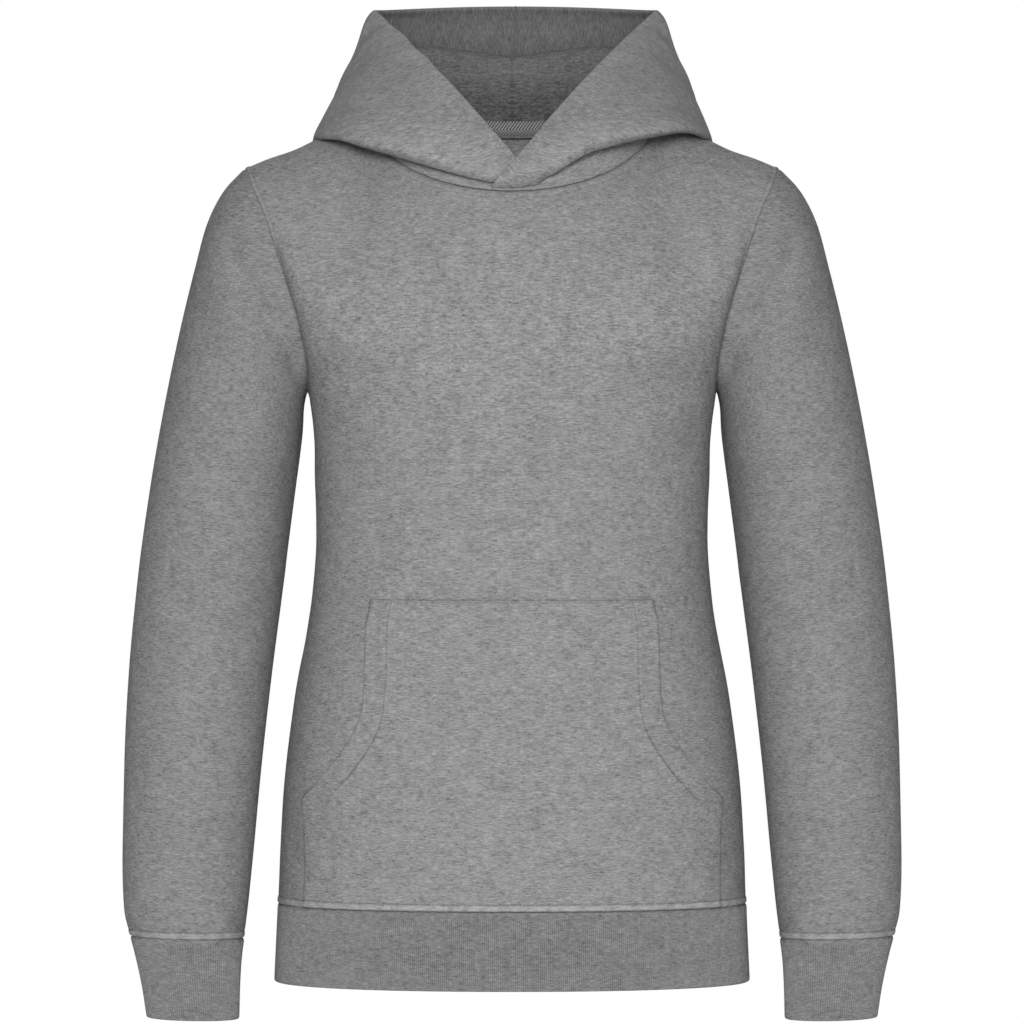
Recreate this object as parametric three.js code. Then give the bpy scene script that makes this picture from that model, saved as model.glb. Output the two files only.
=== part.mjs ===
// Pullover hoodie for a child of about nine, filled out as if worn, with no wearer inside.
// Millimetres, +Z up, the front faces -Y and +X is the side on the right when seen from the front.
// The origin is the middle of the neck, level with the high point of the shoulders.
// Every cloth piece is a thin closed wall, worked out from the garment's own sections.

import * as THREE from "three";

// Driving dimensions: walls and seams
const SEAM_GAP = 0.3;
const NECK_GAP = 0.6;
const JERSEY_WALL = 1.5;
const RIB_WALL = 2.4;
const HOOD_WALL = 1.2;
const TAPE_WALL = 1;

// Driving dimensions: lengths down the garment, from the high point of the shoulders
const HEM_BOTTOM = -549;
const RIB_SEAM = -499.5;
const UNDERARM = -172.5;

// Driving dimensions: neck seam, shoulder and armhole
const NECK = { side: 92, front: -72, back: 58, frontHeight: -49, sideHeight: 4, backHeight: -4 };
const SHOULDER_POINT = { side: 171.5, height: -31.5 };
const ARMHOLE = { middle: -102, halfHeight: 70.5, frontDepth: 57, backDepth: 55 };
const SHOULDER_COLUMN = 0.48;

// Driving dimensions: chest row of each body panel, half way up from the underarm
const CHEST = { front: { height: -112, depth: 98 }, back: { height: -98, depth: 91 } };

// Driving dimensions: hood edge, which runs straight from the crossover to a corner beside the ear
const CROSSOVER = { past: 13, turn: -8, height: -43.5, depth: -74, lap: 2.8 };
const HOOD_CORNER = { side: 88, depth: 50, height: 74, turn: 120 };
const HOOD_BACK = { depth: 92, height: 80 };

// Driving dimensions: pocket and neck tape
const POCKET_GAPE = 2.2;
const POCKET_REST = 0.5;
const POCKET_OPENING_FOOT = -445;
const TAPE_START = 96;

// How square a section of the body is: 2 is an ellipse
const SQUARENESS = 2.2;

// How full the chest row is at its sides and over its middle, as powers of sine and cosine
const CHEST_FULLNESS = { side: 0.94, middle: 0.8 };

// Directions of a body panel's columns: how far the lower one carries on past the underarm, how
// steep the chest is, and the ways in which the upper edge is met at the neck and shoulder
const YOKE_WAYS = { past: 6.5, step: 5, chest: 0.5, side: 36, deep: 40, front: 44, back: 38 };
const OVER_SHOULDER = { side: 10, deep: 72, height: 4, blend: 0.18 };

// Where a panel begins to be drawn out to the armhole, and how sharply
const ARMHOLE_PULL = { start: 0.25, power: 1.6 };

// Share of the sleeve over which its cap turns into an oval tube, and how long its folds fade
const CAP_SHARE = 0.3;
const FOLD_FADE = 14;

// Turns over which the lap of the crossover dies away
const LAP_TURNS = { full: 6, none: 36 };

// How the hood's opening goes round the back, as powers of sine
const HOOD_ROUND = { depth: 1.5, height: 2 };

// How many steps each surface takes
const STEPS = { neck: 6, shoulder: 4, skirt: 10, yoke: 10, sleeve: 17, cuff: 3 };
const TRIM_STEPS = { hoodTurn: 12, pocket: 16, tape: 14 };
const SLEEVE_GRADING = 1.15;

// Body sections from the rib seam up to the underarm
const bodyLevels = [
  { height: -560, side: 153.5, front: 98, back: 95 },
  { height: -499.5, side: 150.4, front: 100, back: 95 },
  { height: -435, side: 146.6, front: 100, back: 92 },
  { height: -371, side: 139.5, front: 98, back: 87 },
  { height: -307, side: 129.2, front: 95, back: 82 },
  { height: -262, side: 126.4, front: 94, back: 81 },
  { height: -218, side: 127.2, front: 97, back: 86 },
  { height: -172.5, side: 131.5, front: 102, back: 93 },
];

// Ridge of the shoulder, from the neck seam out to the armhole
const shoulderRidge = [
  { across: 92, height: 4 },
  { across: 108, height: -4 },
  { across: 126, height: -12.8 },
  { across: 140, height: -19.5 },
  { across: 156, height: -25 },
  { across: 171.5, height: -31.5 },
];

// Armhole seam: how far out it lies, by its turn from the shoulder down to the underarm
const armholeReach = [
  { turn: 0, front: 171.5, back: 171.5 },
  { turn: 30, front: 167, back: 168.5 },
  { turn: 60, front: 155.5, back: 159 },
  { turn: 90, front: 143, back: 147.5 },
  { turn: 120, front: 132.5, back: 136 },
  { turn: 150, front: 128.8, back: 129.2 },
  { turn: 180, front: 131.5, back: 131.5 },
];

// Sleeve sections: outer and inner point of each, its depth either side, and its middle's depth
const sleeveSections = [
  { outX: 171.5, outZ: -31.5, inX: 131.5, inZ: -172.5, deep: 56, middle: -1 },
  { outX: 184.5, outZ: -45.5, inX: 132.6, inZ: -180, deep: 57.5, middle: 0 },
  { outX: 195, outZ: -65.5, inX: 133.2, inZ: -188, deep: 58, middle: 1 },
  { outX: 203.5, outZ: -96, inX: 134, inZ: -200, deep: 57.5, middle: 2 },
  { outX: 212, outZ: -131, inX: 135.6, inZ: -214, deep: 56.5, middle: 3 },
  { outX: 222, outZ: -180, inX: 138.4, inZ: -235, deep: 55, middle: 3 },
  { outX: 231.5, outZ: -236, inX: 142.4, inZ: -266, deep: 53, middle: 1 },
  { outX: 239.3, outZ: -293, inX: 147.2, inZ: -306, deep: 50, middle: -3 },
  { outX: 244.3, outZ: -351, inX: 153.2, inZ: -354, deep: 47, middle: -9 },
  { outX: 247, outZ: -411, inX: 159.6, inZ: -412, deep: 43.5, middle: -15 },
  { outX: 248, outZ: -469, inX: 164.8, inZ: -470, deep: 40, middle: -20 },
  { outX: 246.6, outZ: -503, inX: 168.2, inZ: -503.5, deep: 37, middle: -23 },
  { outX: 242.6, outZ: -520.5, inX: 170.6, inZ: -522, deep: 33.5, middle: -24 },
];

// Cuff sections, the same way
const cuffSections = [
  { outX: 242.3, outZ: -520.8, inX: 170.8, inZ: -522.3, deep: 33.2, middle: -24 },
  { outX: 238.2, outZ: -538, inX: 172.3, inZ: -539, deep: 29.5, middle: -25.5 },
  { outX: 235, outZ: -553, inX: 173, inZ: -554, deep: 27.5, middle: -26.5 },
  { outX: 232, outZ: -572, inX: 173.4, inZ: -573, deep: 26, middle: -28 },
];

// Standing part of the hood by the turn round the neck: its crest as a distance out from and up
// over the neck seam, the crest's breadth, and how far the cloth behind it hangs out
const hoodCrests = [
  { turn: -8, out: 0.2, up: 1.4, wide: 0.2, drape: 0 },
  { turn: 0, out: 0.3, up: 2.5, wide: 0.4, drape: 0 },
  { turn: 30, out: 0.8, up: 6, wide: 2, drape: 0.3 },
  { turn: 60, out: 1, up: 13, wide: 4.5, drape: 2 },
  { turn: 90, out: 0, up: 20, wide: 6, drape: 3 },
  { turn: 120, out: -2, up: 44, wide: 8, drape: 6 },
  { turn: 150, out: 1, up: 52, wide: 8, drape: 8 },
  { turn: 180, out: 4, up: 48, wide: 8, drape: 11 },
];

// Fold of the hood that rests on the shoulders and back, the same way: where it lies, its breadth
// and rise, and how far the outer wall swells between it and the edge
const hoodFolds = [
  { turn: -8, out: 0.7, up: 2.4, wide: 0.4, rise: 0.6, swell: 0.3 },
  { turn: 0, out: 1.3, up: 5, wide: 1, rise: 1.6, swell: 0.9 },
  { turn: 30, out: 6, up: 8, wide: 4, rise: 3, swell: 7 },
  { turn: 60, out: 18, up: 3, wide: 8, rise: 1, swell: 12 },
  { turn: 90, out: 25, up: -7, wide: 10.5, rise: -4.5, swell: 15 },
  { turn: 120, out: 42, up: -35, wide: 11, rise: -3, swell: 12 },
  { turn: 150, out: 56, up: -102, wide: 12, rise: 3, swell: 22 },
  { turn: 180, out: 50, up: -132, wide: 13, rise: 3, swell: 30 },
];

// Steps that each stretch of a hood section takes, from the neck seam to the edge
const hoodStretches = [2, 1, 2, 3, 3, 3, 3];

// Neck tape: its height at the back of the neck, and how far inside the neck seam it lies
const tapeRows = [
  { height: 2.5, inset: 4.3 },
  { height: -3.4, inset: 4.1 },
  { height: -8.6, inset: 1.6 },
];

// Pocket: half its breadth at each height, with the hand openings curving in below the top edge
const pocketRows = [
  { height: -305.8, half: 87.5 },
  { height: -322, half: 81.5 },
  { height: -341, half: 78 },
  { height: -362, half: 78.5 },
  { height: -380, half: 83 },
  { height: -398, half: 91 },
  { height: -413, half: 103 },
  { height: -430, half: 118 },
  { height: -449, half: 132 },
  { height: -474, half: 132.3 },
  { height: -496, half: 132.3 },
];

// Largest soft folds of a sleeve: turn and distance down it at both ends, breadth and depth
const sleeveFolds = [
  { turnA: 62, downA: 0.15, turnB: 128, downB: 0.09, broad: 0.045, deep: 4 },
  { turnA: 300, downA: 0.14, turnB: 232, downB: 0.1, broad: 0.045, deep: 3.6 },
  { turnA: 150, downA: 0.42, turnB: 75, downB: 0.47, broad: 0.035, deep: 1.8 },
  { turnA: 215, downA: 0.44, turnB: 285, downB: 0.5, broad: 0.035, deep: 1.8 },
];

const point = (x, y, z) => new THREE.Vector3(x, y, z);
const degrees = THREE.MathUtils.degToRad;
const blend = (a, b, share) => a + (b - a) * share;
const power = (value, exponent) => Math.sign(value) * Math.abs(value) ** exponent;

// Value of a table's column at a place along its first column, smooth and without overshoot
function read(rows, column, place) {
  const key = Object.keys(rows[0])[0];
  const at = rows.map((row) => row[key]);
  const values = rows.map((row) => row[column]);
  const rises = values.slice(1).map((value, i) => (value - values[i]) / (at[i + 1] - at[i]));
  const slope = (i) => {
    const before = rises[Math.max(i - 1, 0)];
    const after = rises[Math.min(i, rises.length - 1)];
    return before * after > 0 ? (2 * before * after) / (before + after) : 0;
  };
  let i = 0;
  while (i < rises.length - 1 && (place - at[i + 1]) * (at[1] - at[0]) > 0) i += 1;
  return hermite(values[i], slope(i), values[i + 1], slope(i + 1), at[i + 1] - at[i], place - at[i]);
}

// Cubic from one value and slope to the next, over a span
function hermite(start, startSlope, end, endSlope, span, along) {
  const t = along / span;
  return (
    start * (1 + 2 * t) * (1 - t) ** 2 +
    end * t * t * (3 - 2 * t) +
    startSlope * span * t * (1 - t) ** 2 -
    endSlope * span * t * t * (1 - t)
  );
}

// Point on the cubic from one point and direction to the next, with t from 0 to 1
function arc(start, startWay, end, endWay, t) {
  return point(
    ...["x", "y", "z"].map((axis) =>
      hermite(start[axis], startWay[axis], end[axis], endWay[axis], 1, t),
    ),
  );
}

// Neck seam by its turn from the front, 0, past the side, 90, to the back, 180
function neckSeam(turn) {
  const ahead = Math.cos(degrees(turn));
  const depth = ahead > 0 ? NECK.front * ahead : -NECK.back * ahead;
  const end = ahead > 0 ? NECK.frontHeight : NECK.backHeight;
  const height = blend(NECK.sideHeight, end, Math.abs(ahead));
  return point(NECK.side * Math.sin(degrees(turn)), depth, height);
}

// Armhole seam on the +X side by its turn from the shoulder, 0, past the front, 90, and the
// underarm, 180, round the back
function armholeSeam(turn) {
  const toFront = Math.sin(degrees(turn)) >= 0;
  const fold = turn <= 180 ? turn : 360 - turn;
  const reach = read(armholeReach, toFront ? "front" : "back", fold);
  const depth = toFront ? ARMHOLE.frontDepth : ARMHOLE.backDepth;
  const height = ARMHOLE.middle + ARMHOLE.halfHeight * Math.cos(degrees(turn));
  return point(reach, -depth * Math.sin(degrees(turn)), height);
}

// Body below the underarm: across goes from one side seam, -1, to the other, 1
function skirtPoint(facing, across, height) {
  const turn = (across * Math.PI) / 2;
  const side = read(bodyLevels, "side", height);
  const deep = read(bodyLevels, facing < 0 ? "front" : "back", height);
  const x = side * power(Math.sin(turn), 2 / SQUARENESS);
  const y = facing * deep * power(Math.cos(turn), 2 / SQUARENESS);
  return point(x, y, height);
}

// Upper edge of a body panel: the neck seam in the middle, and the shoulder ridge outside it
function topEdge(facing, across) {
  const out = Math.abs(across);
  if (out <= SHOULDER_COLUMN) {
    const quarter = (90 * out) / SHOULDER_COLUMN;
    const edge = neckSeam(facing < 0 ? quarter : 180 - quarter);
    return point(Math.sign(across) * edge.x, edge.y, edge.z);
  }
  const along = (out - SHOULDER_COLUMN) / (1 - SHOULDER_COLUMN);
  const reach = blend(NECK.side, SHOULDER_POINT.side, along);
  return point(Math.sign(across) * reach, 0, read(shoulderRidge, "height", reach));
}

// Share of the shoulder in how a column ends, which grows on both sides of the neck's side point
function shoulderShare(out) {
  const { blend: reach } = OVER_SHOULDER;
  return THREE.MathUtils.smoothstep(out, SHOULDER_COLUMN - reach, SHOULDER_COLUMN + reach);
}

// Way in which a column meets the neck seam
function topEdgeWay(facing, out) {
  const quarter = (Math.min(out / SHOULDER_COLUMN, 1) * Math.PI) / 2;
  return point(
    -YOKE_WAYS.side * Math.sin(quarter),
    -facing * YOKE_WAYS.deep * Math.cos(quarter),
    facing < 0 ? YOKE_WAYS.front : YOKE_WAYS.back,
  );
}

// Body above the underarm: up goes from the underarm, 0, to the upper edge, 1
function yokePoint(facing, across, up) {
  const out = Math.abs(across);
  const sign = across < 0 ? -1 : 1;
  const hole = (share) => armholeSeam(facing < 0 ? 180 * (1 - share) : 180 * (1 + share));
  const beside = hole(0.5);
  const middle = facing < 0 ? CHEST.front : CHEST.back;
  const turn = (out * Math.PI) / 2;
  const chest = point(
    beside.x * power(Math.sin(turn), CHEST_FULLNESS.side),
    blend(facing * middle.depth, beside.y, 1 - power(Math.cos(turn), CHEST_FULLNESS.middle)),
    blend(middle.height, beside.z, out * out),
  );
  const overShoulder = point(OVER_SHOULDER.side, -facing * OVER_SHOULDER.deep, OVER_SHOULDER.height);
  const column = (at, half, topWay) => {
    const low = skirtPoint(facing, at, UNDERARM);
    const under = skirtPoint(facing, at, UNDERARM - YOKE_WAYS.step);
    const lowWay = low.clone().sub(under).multiplyScalar(YOKE_WAYS.past);
    const top = topEdge(facing, at);
    const halfWay = top.clone().sub(low).multiplyScalar(YOKE_WAYS.chest);
    return up < 0.5
      ? arc(low, lowWay, half, halfWay, up * 2)
      : arc(half, halfWay, top, topWay, up * 2 - 1);
  };
  const place = column(out, chest, topEdgeWay(facing, out).lerp(overShoulder, shoulderShare(out)));
  // The outermost column is drawn onto the armhole seam, and its neighbours follow in part
  const drawn = column(1, beside, overShoulder);
  const share = Math.max(0, (out - ARMHOLE_PULL.start) / (1 - ARMHOLE_PULL.start));
  place.add(hole(up).sub(drawn).multiplyScalar(share ** ARMHOLE_PULL.power));
  return point(sign * place.x, place.y, place.z);
}

// Whole body panel: rise goes from the rib seam, 0, past the underarm, 1, to the upper edge, 2
function bodyPoint(facing, across, rise) {
  return rise <= 1
    ? skirtPoint(facing, across, blend(RIB_SEAM, UNDERARM, rise))
    : yokePoint(facing, across, rise - 1);
}

// Point of a row of sections at a distance, from 0 to 1 over the whole table
function sectionPoint(sections, turn, down) {
  const rows = sections.map((row, index) => ({ index, ...row }));
  const place = down * (sections.length - 1);
  const at = (column) => read(rows, column, place);
  const half = point(at("outX") - at("inX"), 0, at("outZ") - at("inZ")).multiplyScalar(0.5);
  const middle = point(at("outX") + at("inX"), 0, at("outZ") + at("inZ")).multiplyScalar(0.5);
  middle.y = at("middle");
  const swing = degrees(turn);
  return middle.add(half.multiplyScalar(Math.cos(swing))).add(point(0, -at("deep") * Math.sin(swing), 0));
}

// Sleeve on the +X side: its first ring is the armhole seam and its last the cuff seam
function sleevePoint(turn, down) {
  const place = sectionPoint(sleeveSections, turn, down);
  const cap = Math.max(0, 1 - down / CAP_SHARE) ** 2;
  const seam = armholeSeam(turn).sub(sectionPoint(sleeveSections, turn, 0));
  place.add(seam.multiplyScalar(cap));
  const middle = sectionPoint(sleeveSections, 0, down).add(sectionPoint(sleeveSections, 180, down));
  const inward = middle.multiplyScalar(0.5).sub(place).normalize();
  sleeveFolds.forEach((fold) => {
    const along = THREE.MathUtils.clamp((turn - fold.turnA) / (fold.turnB - fold.turnA), 0, 1);
    const aside = (down - blend(fold.downA, fold.downB, along)) / fold.broad;
    const past = (turn - blend(fold.turnA, fold.turnB, along)) / FOLD_FADE;
    place.addScaledVector(inward, fold.deep * Math.exp(-aside * aside - past * past));
  });
  return place;
}

// Edge of a hood panel on the +X side: a straight line up from the crossover to the corner,
// drawn back in depth as it rises, and then round the back of the head opening
function hoodEdge(turn) {
  const up = (turn - CROSSOVER.turn) / (HOOD_CORNER.turn - CROSSOVER.turn);
  if (up <= 1) {
    return point(
      blend(-CROSSOVER.past, HOOD_CORNER.side, up),
      blend(CROSSOVER.depth, HOOD_CORNER.depth, up * up),
      blend(CROSSOVER.height, HOOD_CORNER.height, up),
    );
  }
  const round = ((turn - HOOD_CORNER.turn) / (180 - HOOD_CORNER.turn)) * (Math.PI / 2);
  return point(
    HOOD_CORNER.side * Math.cos(round),
    blend(HOOD_CORNER.depth, HOOD_BACK.depth, Math.sin(round) ** HOOD_ROUND.depth),
    blend(HOOD_CORNER.height, HOOD_BACK.height, Math.sin(round) ** HOOD_ROUND.height),
  );
}

// The points that a hood section passes through, from the neck seam to the edge
function hoodSection(turn) {
  const crestAt = (column) => read(hoodCrests, column, turn);
  const foldAt = (column) => read(hoodFolds, column, turn);
  const out = point(Math.sin(degrees(turn)), -Math.cos(degrees(turn)), 0);
  const seam = neckSeam(turn);
  const place = (away, up) => seam.clone().addScaledVector(out, away).add(point(0, 0, up));
  const crest = place(crestAt("out"), crestAt("up"));
  const crestEnd = place(crestAt("out") + crestAt("wide"), crestAt("up"));
  const fold = place(foldAt("out"), foldAt("up"));
  const foldEnd = place(foldAt("out") + foldAt("wide"), foldAt("up") + foldAt("rise"));
  const edge = hoodEdge(turn);
  const drape = crestEnd.clone().lerp(fold, 0.5).addScaledVector(out, crestAt("drape"));
  const swell = foldEnd.clone().lerp(edge, 0.5).addScaledVector(out, foldAt("swell"));
  return [seam, crest, crestEnd, drape, fold, foldEnd, swell, edge];
}

// Hood surface between lining and outer layer: along counts the stretches of a section
function hoodPoint(turn, along) {
  const knots = hoodSection(turn);
  const last = knots.length - 1;
  const spans = knots.slice(1).map((knot, i) => Math.max(knot.distanceTo(knots[i]), 0.05));
  const way = (i) => {
    if (i === 0) return knots[1].clone().sub(knots[0]).divideScalar(spans[0]);
    if (i === last) return knots[last].clone().sub(knots[last - 1]).divideScalar(spans[last - 1]);
    const before = knots[i].clone().sub(knots[i - 1]).divideScalar(spans[i - 1]);
    const after = knots[i + 1].clone().sub(knots[i]).divideScalar(spans[i]);
    return before.lerp(after, spans[i - 1] / (spans[i - 1] + spans[i]));
  };
  const i = Math.min(Math.floor(along), last - 1);
  const startWay = way(i).multiplyScalar(spans[i]);
  const endWay = way(i + 1).multiplyScalar(spans[i]);
  return arc(knots[i], startWay, knots[i + 1], endWay, along - i);
}

// Direction square to a surface, from two small steps over it
function outward(surface, a, b, stepA, stepB, rangeA, rangeB) {
  const clampA = (value) => Math.min(Math.max(value, rangeA[0]), rangeA[1]);
  const clampB = (value) => Math.min(Math.max(value, rangeB[0]), rangeB[1]);
  const wayA = surface(clampA(a + stepA), b).sub(surface(clampA(a - stepA), b));
  const wayB = surface(a, clampB(b + stepB)).sub(surface(a, clampB(b - stepB)));
  return wayA.cross(wayB).normalize();
}

const bodyOut = (facing, across, rise) =>
  outward((a, b) => bodyPoint(facing, a, b), across, rise, 2e-3, 2e-3, [-1, 1], [0, 2])
    .multiplyScalar(-facing);
const sleeveOut = (turn, down) =>
  outward((a, b) => sleevePoint((a + 360) % 360, b), turn, down, 0.5, 1e-3, [-1, 361], [0, 1]);
const hoodOut = (turn, along) => {
  const inside = hoodStretches.length - 1e-3;
  return outward(hoodPoint, turn, along, 0.5, 1e-3, [CROSSOVER.turn, 180], [0, inside]);
};

// Frame of a seam that two pieces share: both end faces lie along its out direction, on either
// side of its middle, so the walls meet in a mitre
function seamFrame(seam, turn, outA, outB, towards) {
  const along = seam(turn + 0.5).sub(seam(turn - 0.5)).normalize();
  const out = outA.add(outB);
  out.addScaledVector(along, -out.dot(along)).normalize();
  const across = along.clone().cross(out).normalize();
  if (across.dot(towards) < 0) across.negate();
  return { out, across };
}

function armholeFrame(turn) {
  const facing = turn <= 180 ? -1 : 1;
  const share = turn <= 180 ? 1 - turn / 180 : turn / 180 - 1;
  const body = bodyOut(facing, 1, 1 + share);
  const sleeve = sleeveOut(turn, 0);
  const towards = sleevePoint(turn, 0.04).sub(bodyPoint(facing, 0.94, 1 + share));
  return seamFrame((a) => armholeSeam((a + 360) % 360), turn, body, sleeve, towards);
}

function neckFrame(turn) {
  const facing = turn <= 90 ? -1 : 1;
  const quarter = facing < 0 ? Math.abs(turn) : 180 - turn;
  const body = bodyOut(facing, (Math.sign(turn) * quarter * SHOULDER_COLUMN) / 90, 2);
  return seamFrame(neckSeam, turn, body, hoodOut(Math.max(turn, CROSSOVER.turn), 0), point(0, 0, 1));
}

// A closed wall from rows of outer points, each with the direction it faces
function wallGeometry(rows, thickness, round) {
  const breadth = rows[0].length;
  const count = rows.length * breadth;
  const flat = rows.flat();
  const outer = flat.map((spot) => spot.at);
  const inner = flat.map((spot) => spot.at.clone().addScaledVector(spot.out, -thickness));
  const faces = [];
  const quad = (a, b, c, d) => faces.push([a, b, c], [a, c, d]);
  const steps = round ? breadth : breadth - 1;
  const last = (rows.length - 1) * breadth;
  for (let j = 0; j < steps; j += 1) {
    const next = (j + 1) % breadth;
    for (let a = j, b = next; a < last; a += breadth, b += breadth) {
      quad(a, b, b + breadth, a + breadth);
      quad(count + a, count + a + breadth, count + b + breadth, count + b);
    }
    quad(next, j, count + j, count + next);
    quad(last + j, last + next, count + last + next, count + last + j);
  }
  for (let a = 0; !round && a < last; a += breadth) {
    const b = a + breadth - 1;
    quad(a, a + breadth, count + a + breadth, count + a);
    quad(b + breadth, b, count + b, count + b + breadth);
  }
  return closedGeometry([...outer, ...inner], faces);
}

// Turns the faces outwards by the sign of the volume that they hold
function closedGeometry(places, faces) {
  let volume = 0;
  faces.forEach(([a, b, c]) => {
    volume += places[a].dot(places[b].clone().cross(places[c]));
  });
  const order = volume > 0 ? faces : faces.map(([a, b, c]) => [a, c, b]);
  const geometry = new THREE.BufferGeometry().setFromPoints(places);
  geometry.setIndex(order.flat());
  geometry.computeVertexNormals();
  return geometry;
}

const range = (count, make) => Array.from({ length: count + 1 }, (_, i) => make(i));

// The columns of a body panel: even turns of the neck seam, then even steps over the shoulder
const halfColumns = [
  ...range(STEPS.neck, (i) => (SHOULDER_COLUMN * i) / STEPS.neck),
  ...range(STEPS.shoulder - 1, (i) => blend(SHOULDER_COLUMN, 1, (i + 1) / STEPS.shoulder)),
];
const bodyColumns = [...halfColumns.slice(1).reverse().map((out) => -out), ...halfColumns];
const bodyRises = [
  ...range(STEPS.skirt, (i) => i / STEPS.skirt),
  ...range(STEPS.yoke - 1, (i) => 1 + (i + 1) / STEPS.yoke),
];

// One spot of a body panel, with its seams opened by half the seam gap
function bodySpot(facing, across, rise) {
  const at = bodyPoint(facing, across, rise);
  const out = bodyOut(facing, across, rise);
  const half = SEAM_GAP / 2;
  const sign = Math.sign(across);
  const spot = { at, out };
  const atRim = Math.abs(across) === 1;
  if (atRim && rise >= 1) {
    const frame = armholeFrame(facing < 0 ? 180 * (2 - rise) : (180 * rise) % 360);
    frame.out.x *= sign;
    frame.across.x *= sign;
    spot.out = frame.out;
    at.addScaledVector(frame.across, -half);
  } else if (rise === 2 && Math.abs(across) <= SHOULDER_COLUMN) {
    const quarter = (90 * Math.abs(across)) / SHOULDER_COLUMN;
    const frame = neckFrame(facing < 0 ? quarter : 180 - quarter);
    frame.out.x *= sign || 1;
    frame.across.x *= sign || 1;
    spot.out = frame.out;
    at.addScaledVector(frame.across, -half);
  }
  const onSideSeam = atRim && rise <= 1;
  const onShoulder = rise === 2 && Math.abs(across) >= SHOULDER_COLUMN;
  if (onSideSeam || onShoulder) {
    spot.out.y = 0;
    spot.out.normalize();
    at.y = facing * half;
  }
  return spot;
}

const bodyPanel = (facing) =>
  wallGeometry(
    bodyRises.map((rise) => bodyColumns.map((across) => bodySpot(facing, across, rise))),
    JERSEY_WALL,
    false,
  );

// Rib band round the hem, with a column under each column of the body
function hemBand() {
  const heights = [RIB_SEAM - SEAM_GAP, (RIB_SEAM + HEM_BOTTOM) / 2, HEM_BOTTOM];
  const ring = [
    ...bodyColumns.map((across) => [-1, across]),
    ...bodyColumns.slice(1, -1).reverse().map((across) => [1, across]),
  ];
  const rows = heights.map((height) =>
    ring.map(([facing, across]) => {
      const at = skirtPoint(facing, across, height);
      const skirt = (a, b) => skirtPoint(facing, a, b);
      const out = outward(skirt, across, height, 2e-3, 0.5, [-1, 1], [bodyLevels[0].height, 0]);
      out.multiplyScalar(-facing);
      if (Math.abs(across) === 1) out.y = 0;
      return { at, out: out.normalize() };
    }),
  );
  return wallGeometry(rows, RIB_WALL, true);
}

// Sleeve and cuff are closed rings, with a column at each row of the armhole edge
const sleeveTurns = range(2 * STEPS.yoke - 1, (i) => (360 * i) / (2 * STEPS.yoke));

function sleeve(side) {
  const rows = range(STEPS.sleeve, (i) => (i / STEPS.sleeve) ** SLEEVE_GRADING).map((down) =>
    sleeveTurns.map((turn) => {
      const spot = { at: sleevePoint(turn, down), out: sleeveOut(turn, down) };
      if (down === 0) {
        const frame = armholeFrame(turn);
        spot.out = frame.out;
        spot.at.addScaledVector(frame.across, SEAM_GAP / 2);
      }
      return mirrored(spot, side);
    }),
  );
  return wallGeometry(rows, JERSEY_WALL, true);
}

function cuff(side) {
  const surface = (turn, down) => sectionPoint(cuffSections, turn, down);
  const rows = range(STEPS.cuff, (i) => i / STEPS.cuff).map((down) =>
    sleeveTurns.map((turn) => {
      const out = outward(surface, turn, down, 0.5, 1e-3, [-1, 361], [0, 1]);
      return mirrored({ at: surface(turn, down), out }, side);
    }),
  );
  return wallGeometry(rows, RIB_WALL, true);
}

// Takes a spot to the -X side of the garment
function mirrored(spot, side) {
  spot.at.x *= side;
  spot.out.x *= side;
  return spot;
}

// One layer of one half of the hood. Layer is 1 outside and -1 for the lining. At the crossover
// the +X half lies in front and the -X half behind it.
function hoodHalf(side, layer) {
  const steps = TRIM_STEPS.hoodTurn;
  const turns = [CROSSOVER.turn, ...range(steps, (i) => (180 * i) / steps)];
  const places = [0];
  hoodStretches.forEach((count, stretch) => {
    places.push(...range(count - 1, (i) => stretch + (i + 1) / count));
  });
  const rows = turns.map((turn) =>
    places.map((along) => {
      const out = hoodOut(turn, Math.min(along, hoodStretches.length - 1e-3));
      const at = hoodPoint(turn, along);
      if (along === 0) {
        const frame = neckFrame(turn);
        at.addScaledVector(frame.across, NECK_GAP - SEAM_GAP / 2);
        at.addScaledVector(frame.out, -HOOD_WALL / 3);
      }
      const left = 1 - THREE.MathUtils.smoothstep(turn, LAP_TURNS.full, LAP_TURNS.none);
      const lap = side * CROSSOVER.lap * left;
      at.add(point(Math.sin(degrees(turn)), -Math.cos(degrees(turn)), 0).multiplyScalar(lap));
      at.addScaledVector(out, layer > 0 ? SEAM_GAP / 2 + HOOD_WALL : -SEAM_GAP / 2);
      if (turn === 180) {
        at.x = SEAM_GAP / 2;
        out.x = 0;
        out.normalize();
      }
      return mirrored({ at, out }, side);
    }),
  );
  return wallGeometry(rows, HOOD_WALL, false);
}

// Pocket laid on the front panel's own surface, sewn down at its top, foot and short sides, and
// standing a little off the body at the hand openings
function pocket() {
  const acrossAt = (x, height) => {
    const side = read(bodyLevels, "side", height);
    return (Math.asin(power(x / side, SQUARENESS / 2)) * 2) / Math.PI;
  };
  const rows = pocketRows.map(({ height, half }, row) =>
    range(TRIM_STEPS.pocket, (i) => -1 + (2 * i) / TRIM_STEPS.pocket).map((share) => {
      const across = share * acrossAt(half, height);
      const rise = (height - RIB_SEAM) / (UNDERARM - RIB_SEAM);
      const out = bodyOut(-1, across, rise);
      const fromFoot = Math.sin((Math.PI * row) / (pocketRows.length - 1));
      const sewnSide = height < POCKET_OPENING_FOOT ? 1 - share ** 4 : 1;
      const lift = POCKET_REST + POCKET_GAPE * fromFoot * sewnSide;
      const at = bodyPoint(-1, across, rise).addScaledVector(out, lift + JERSEY_WALL);
      return { at, out };
    }),
  );
  return wallGeometry(rows, JERSEY_WALL, false);
}

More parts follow.
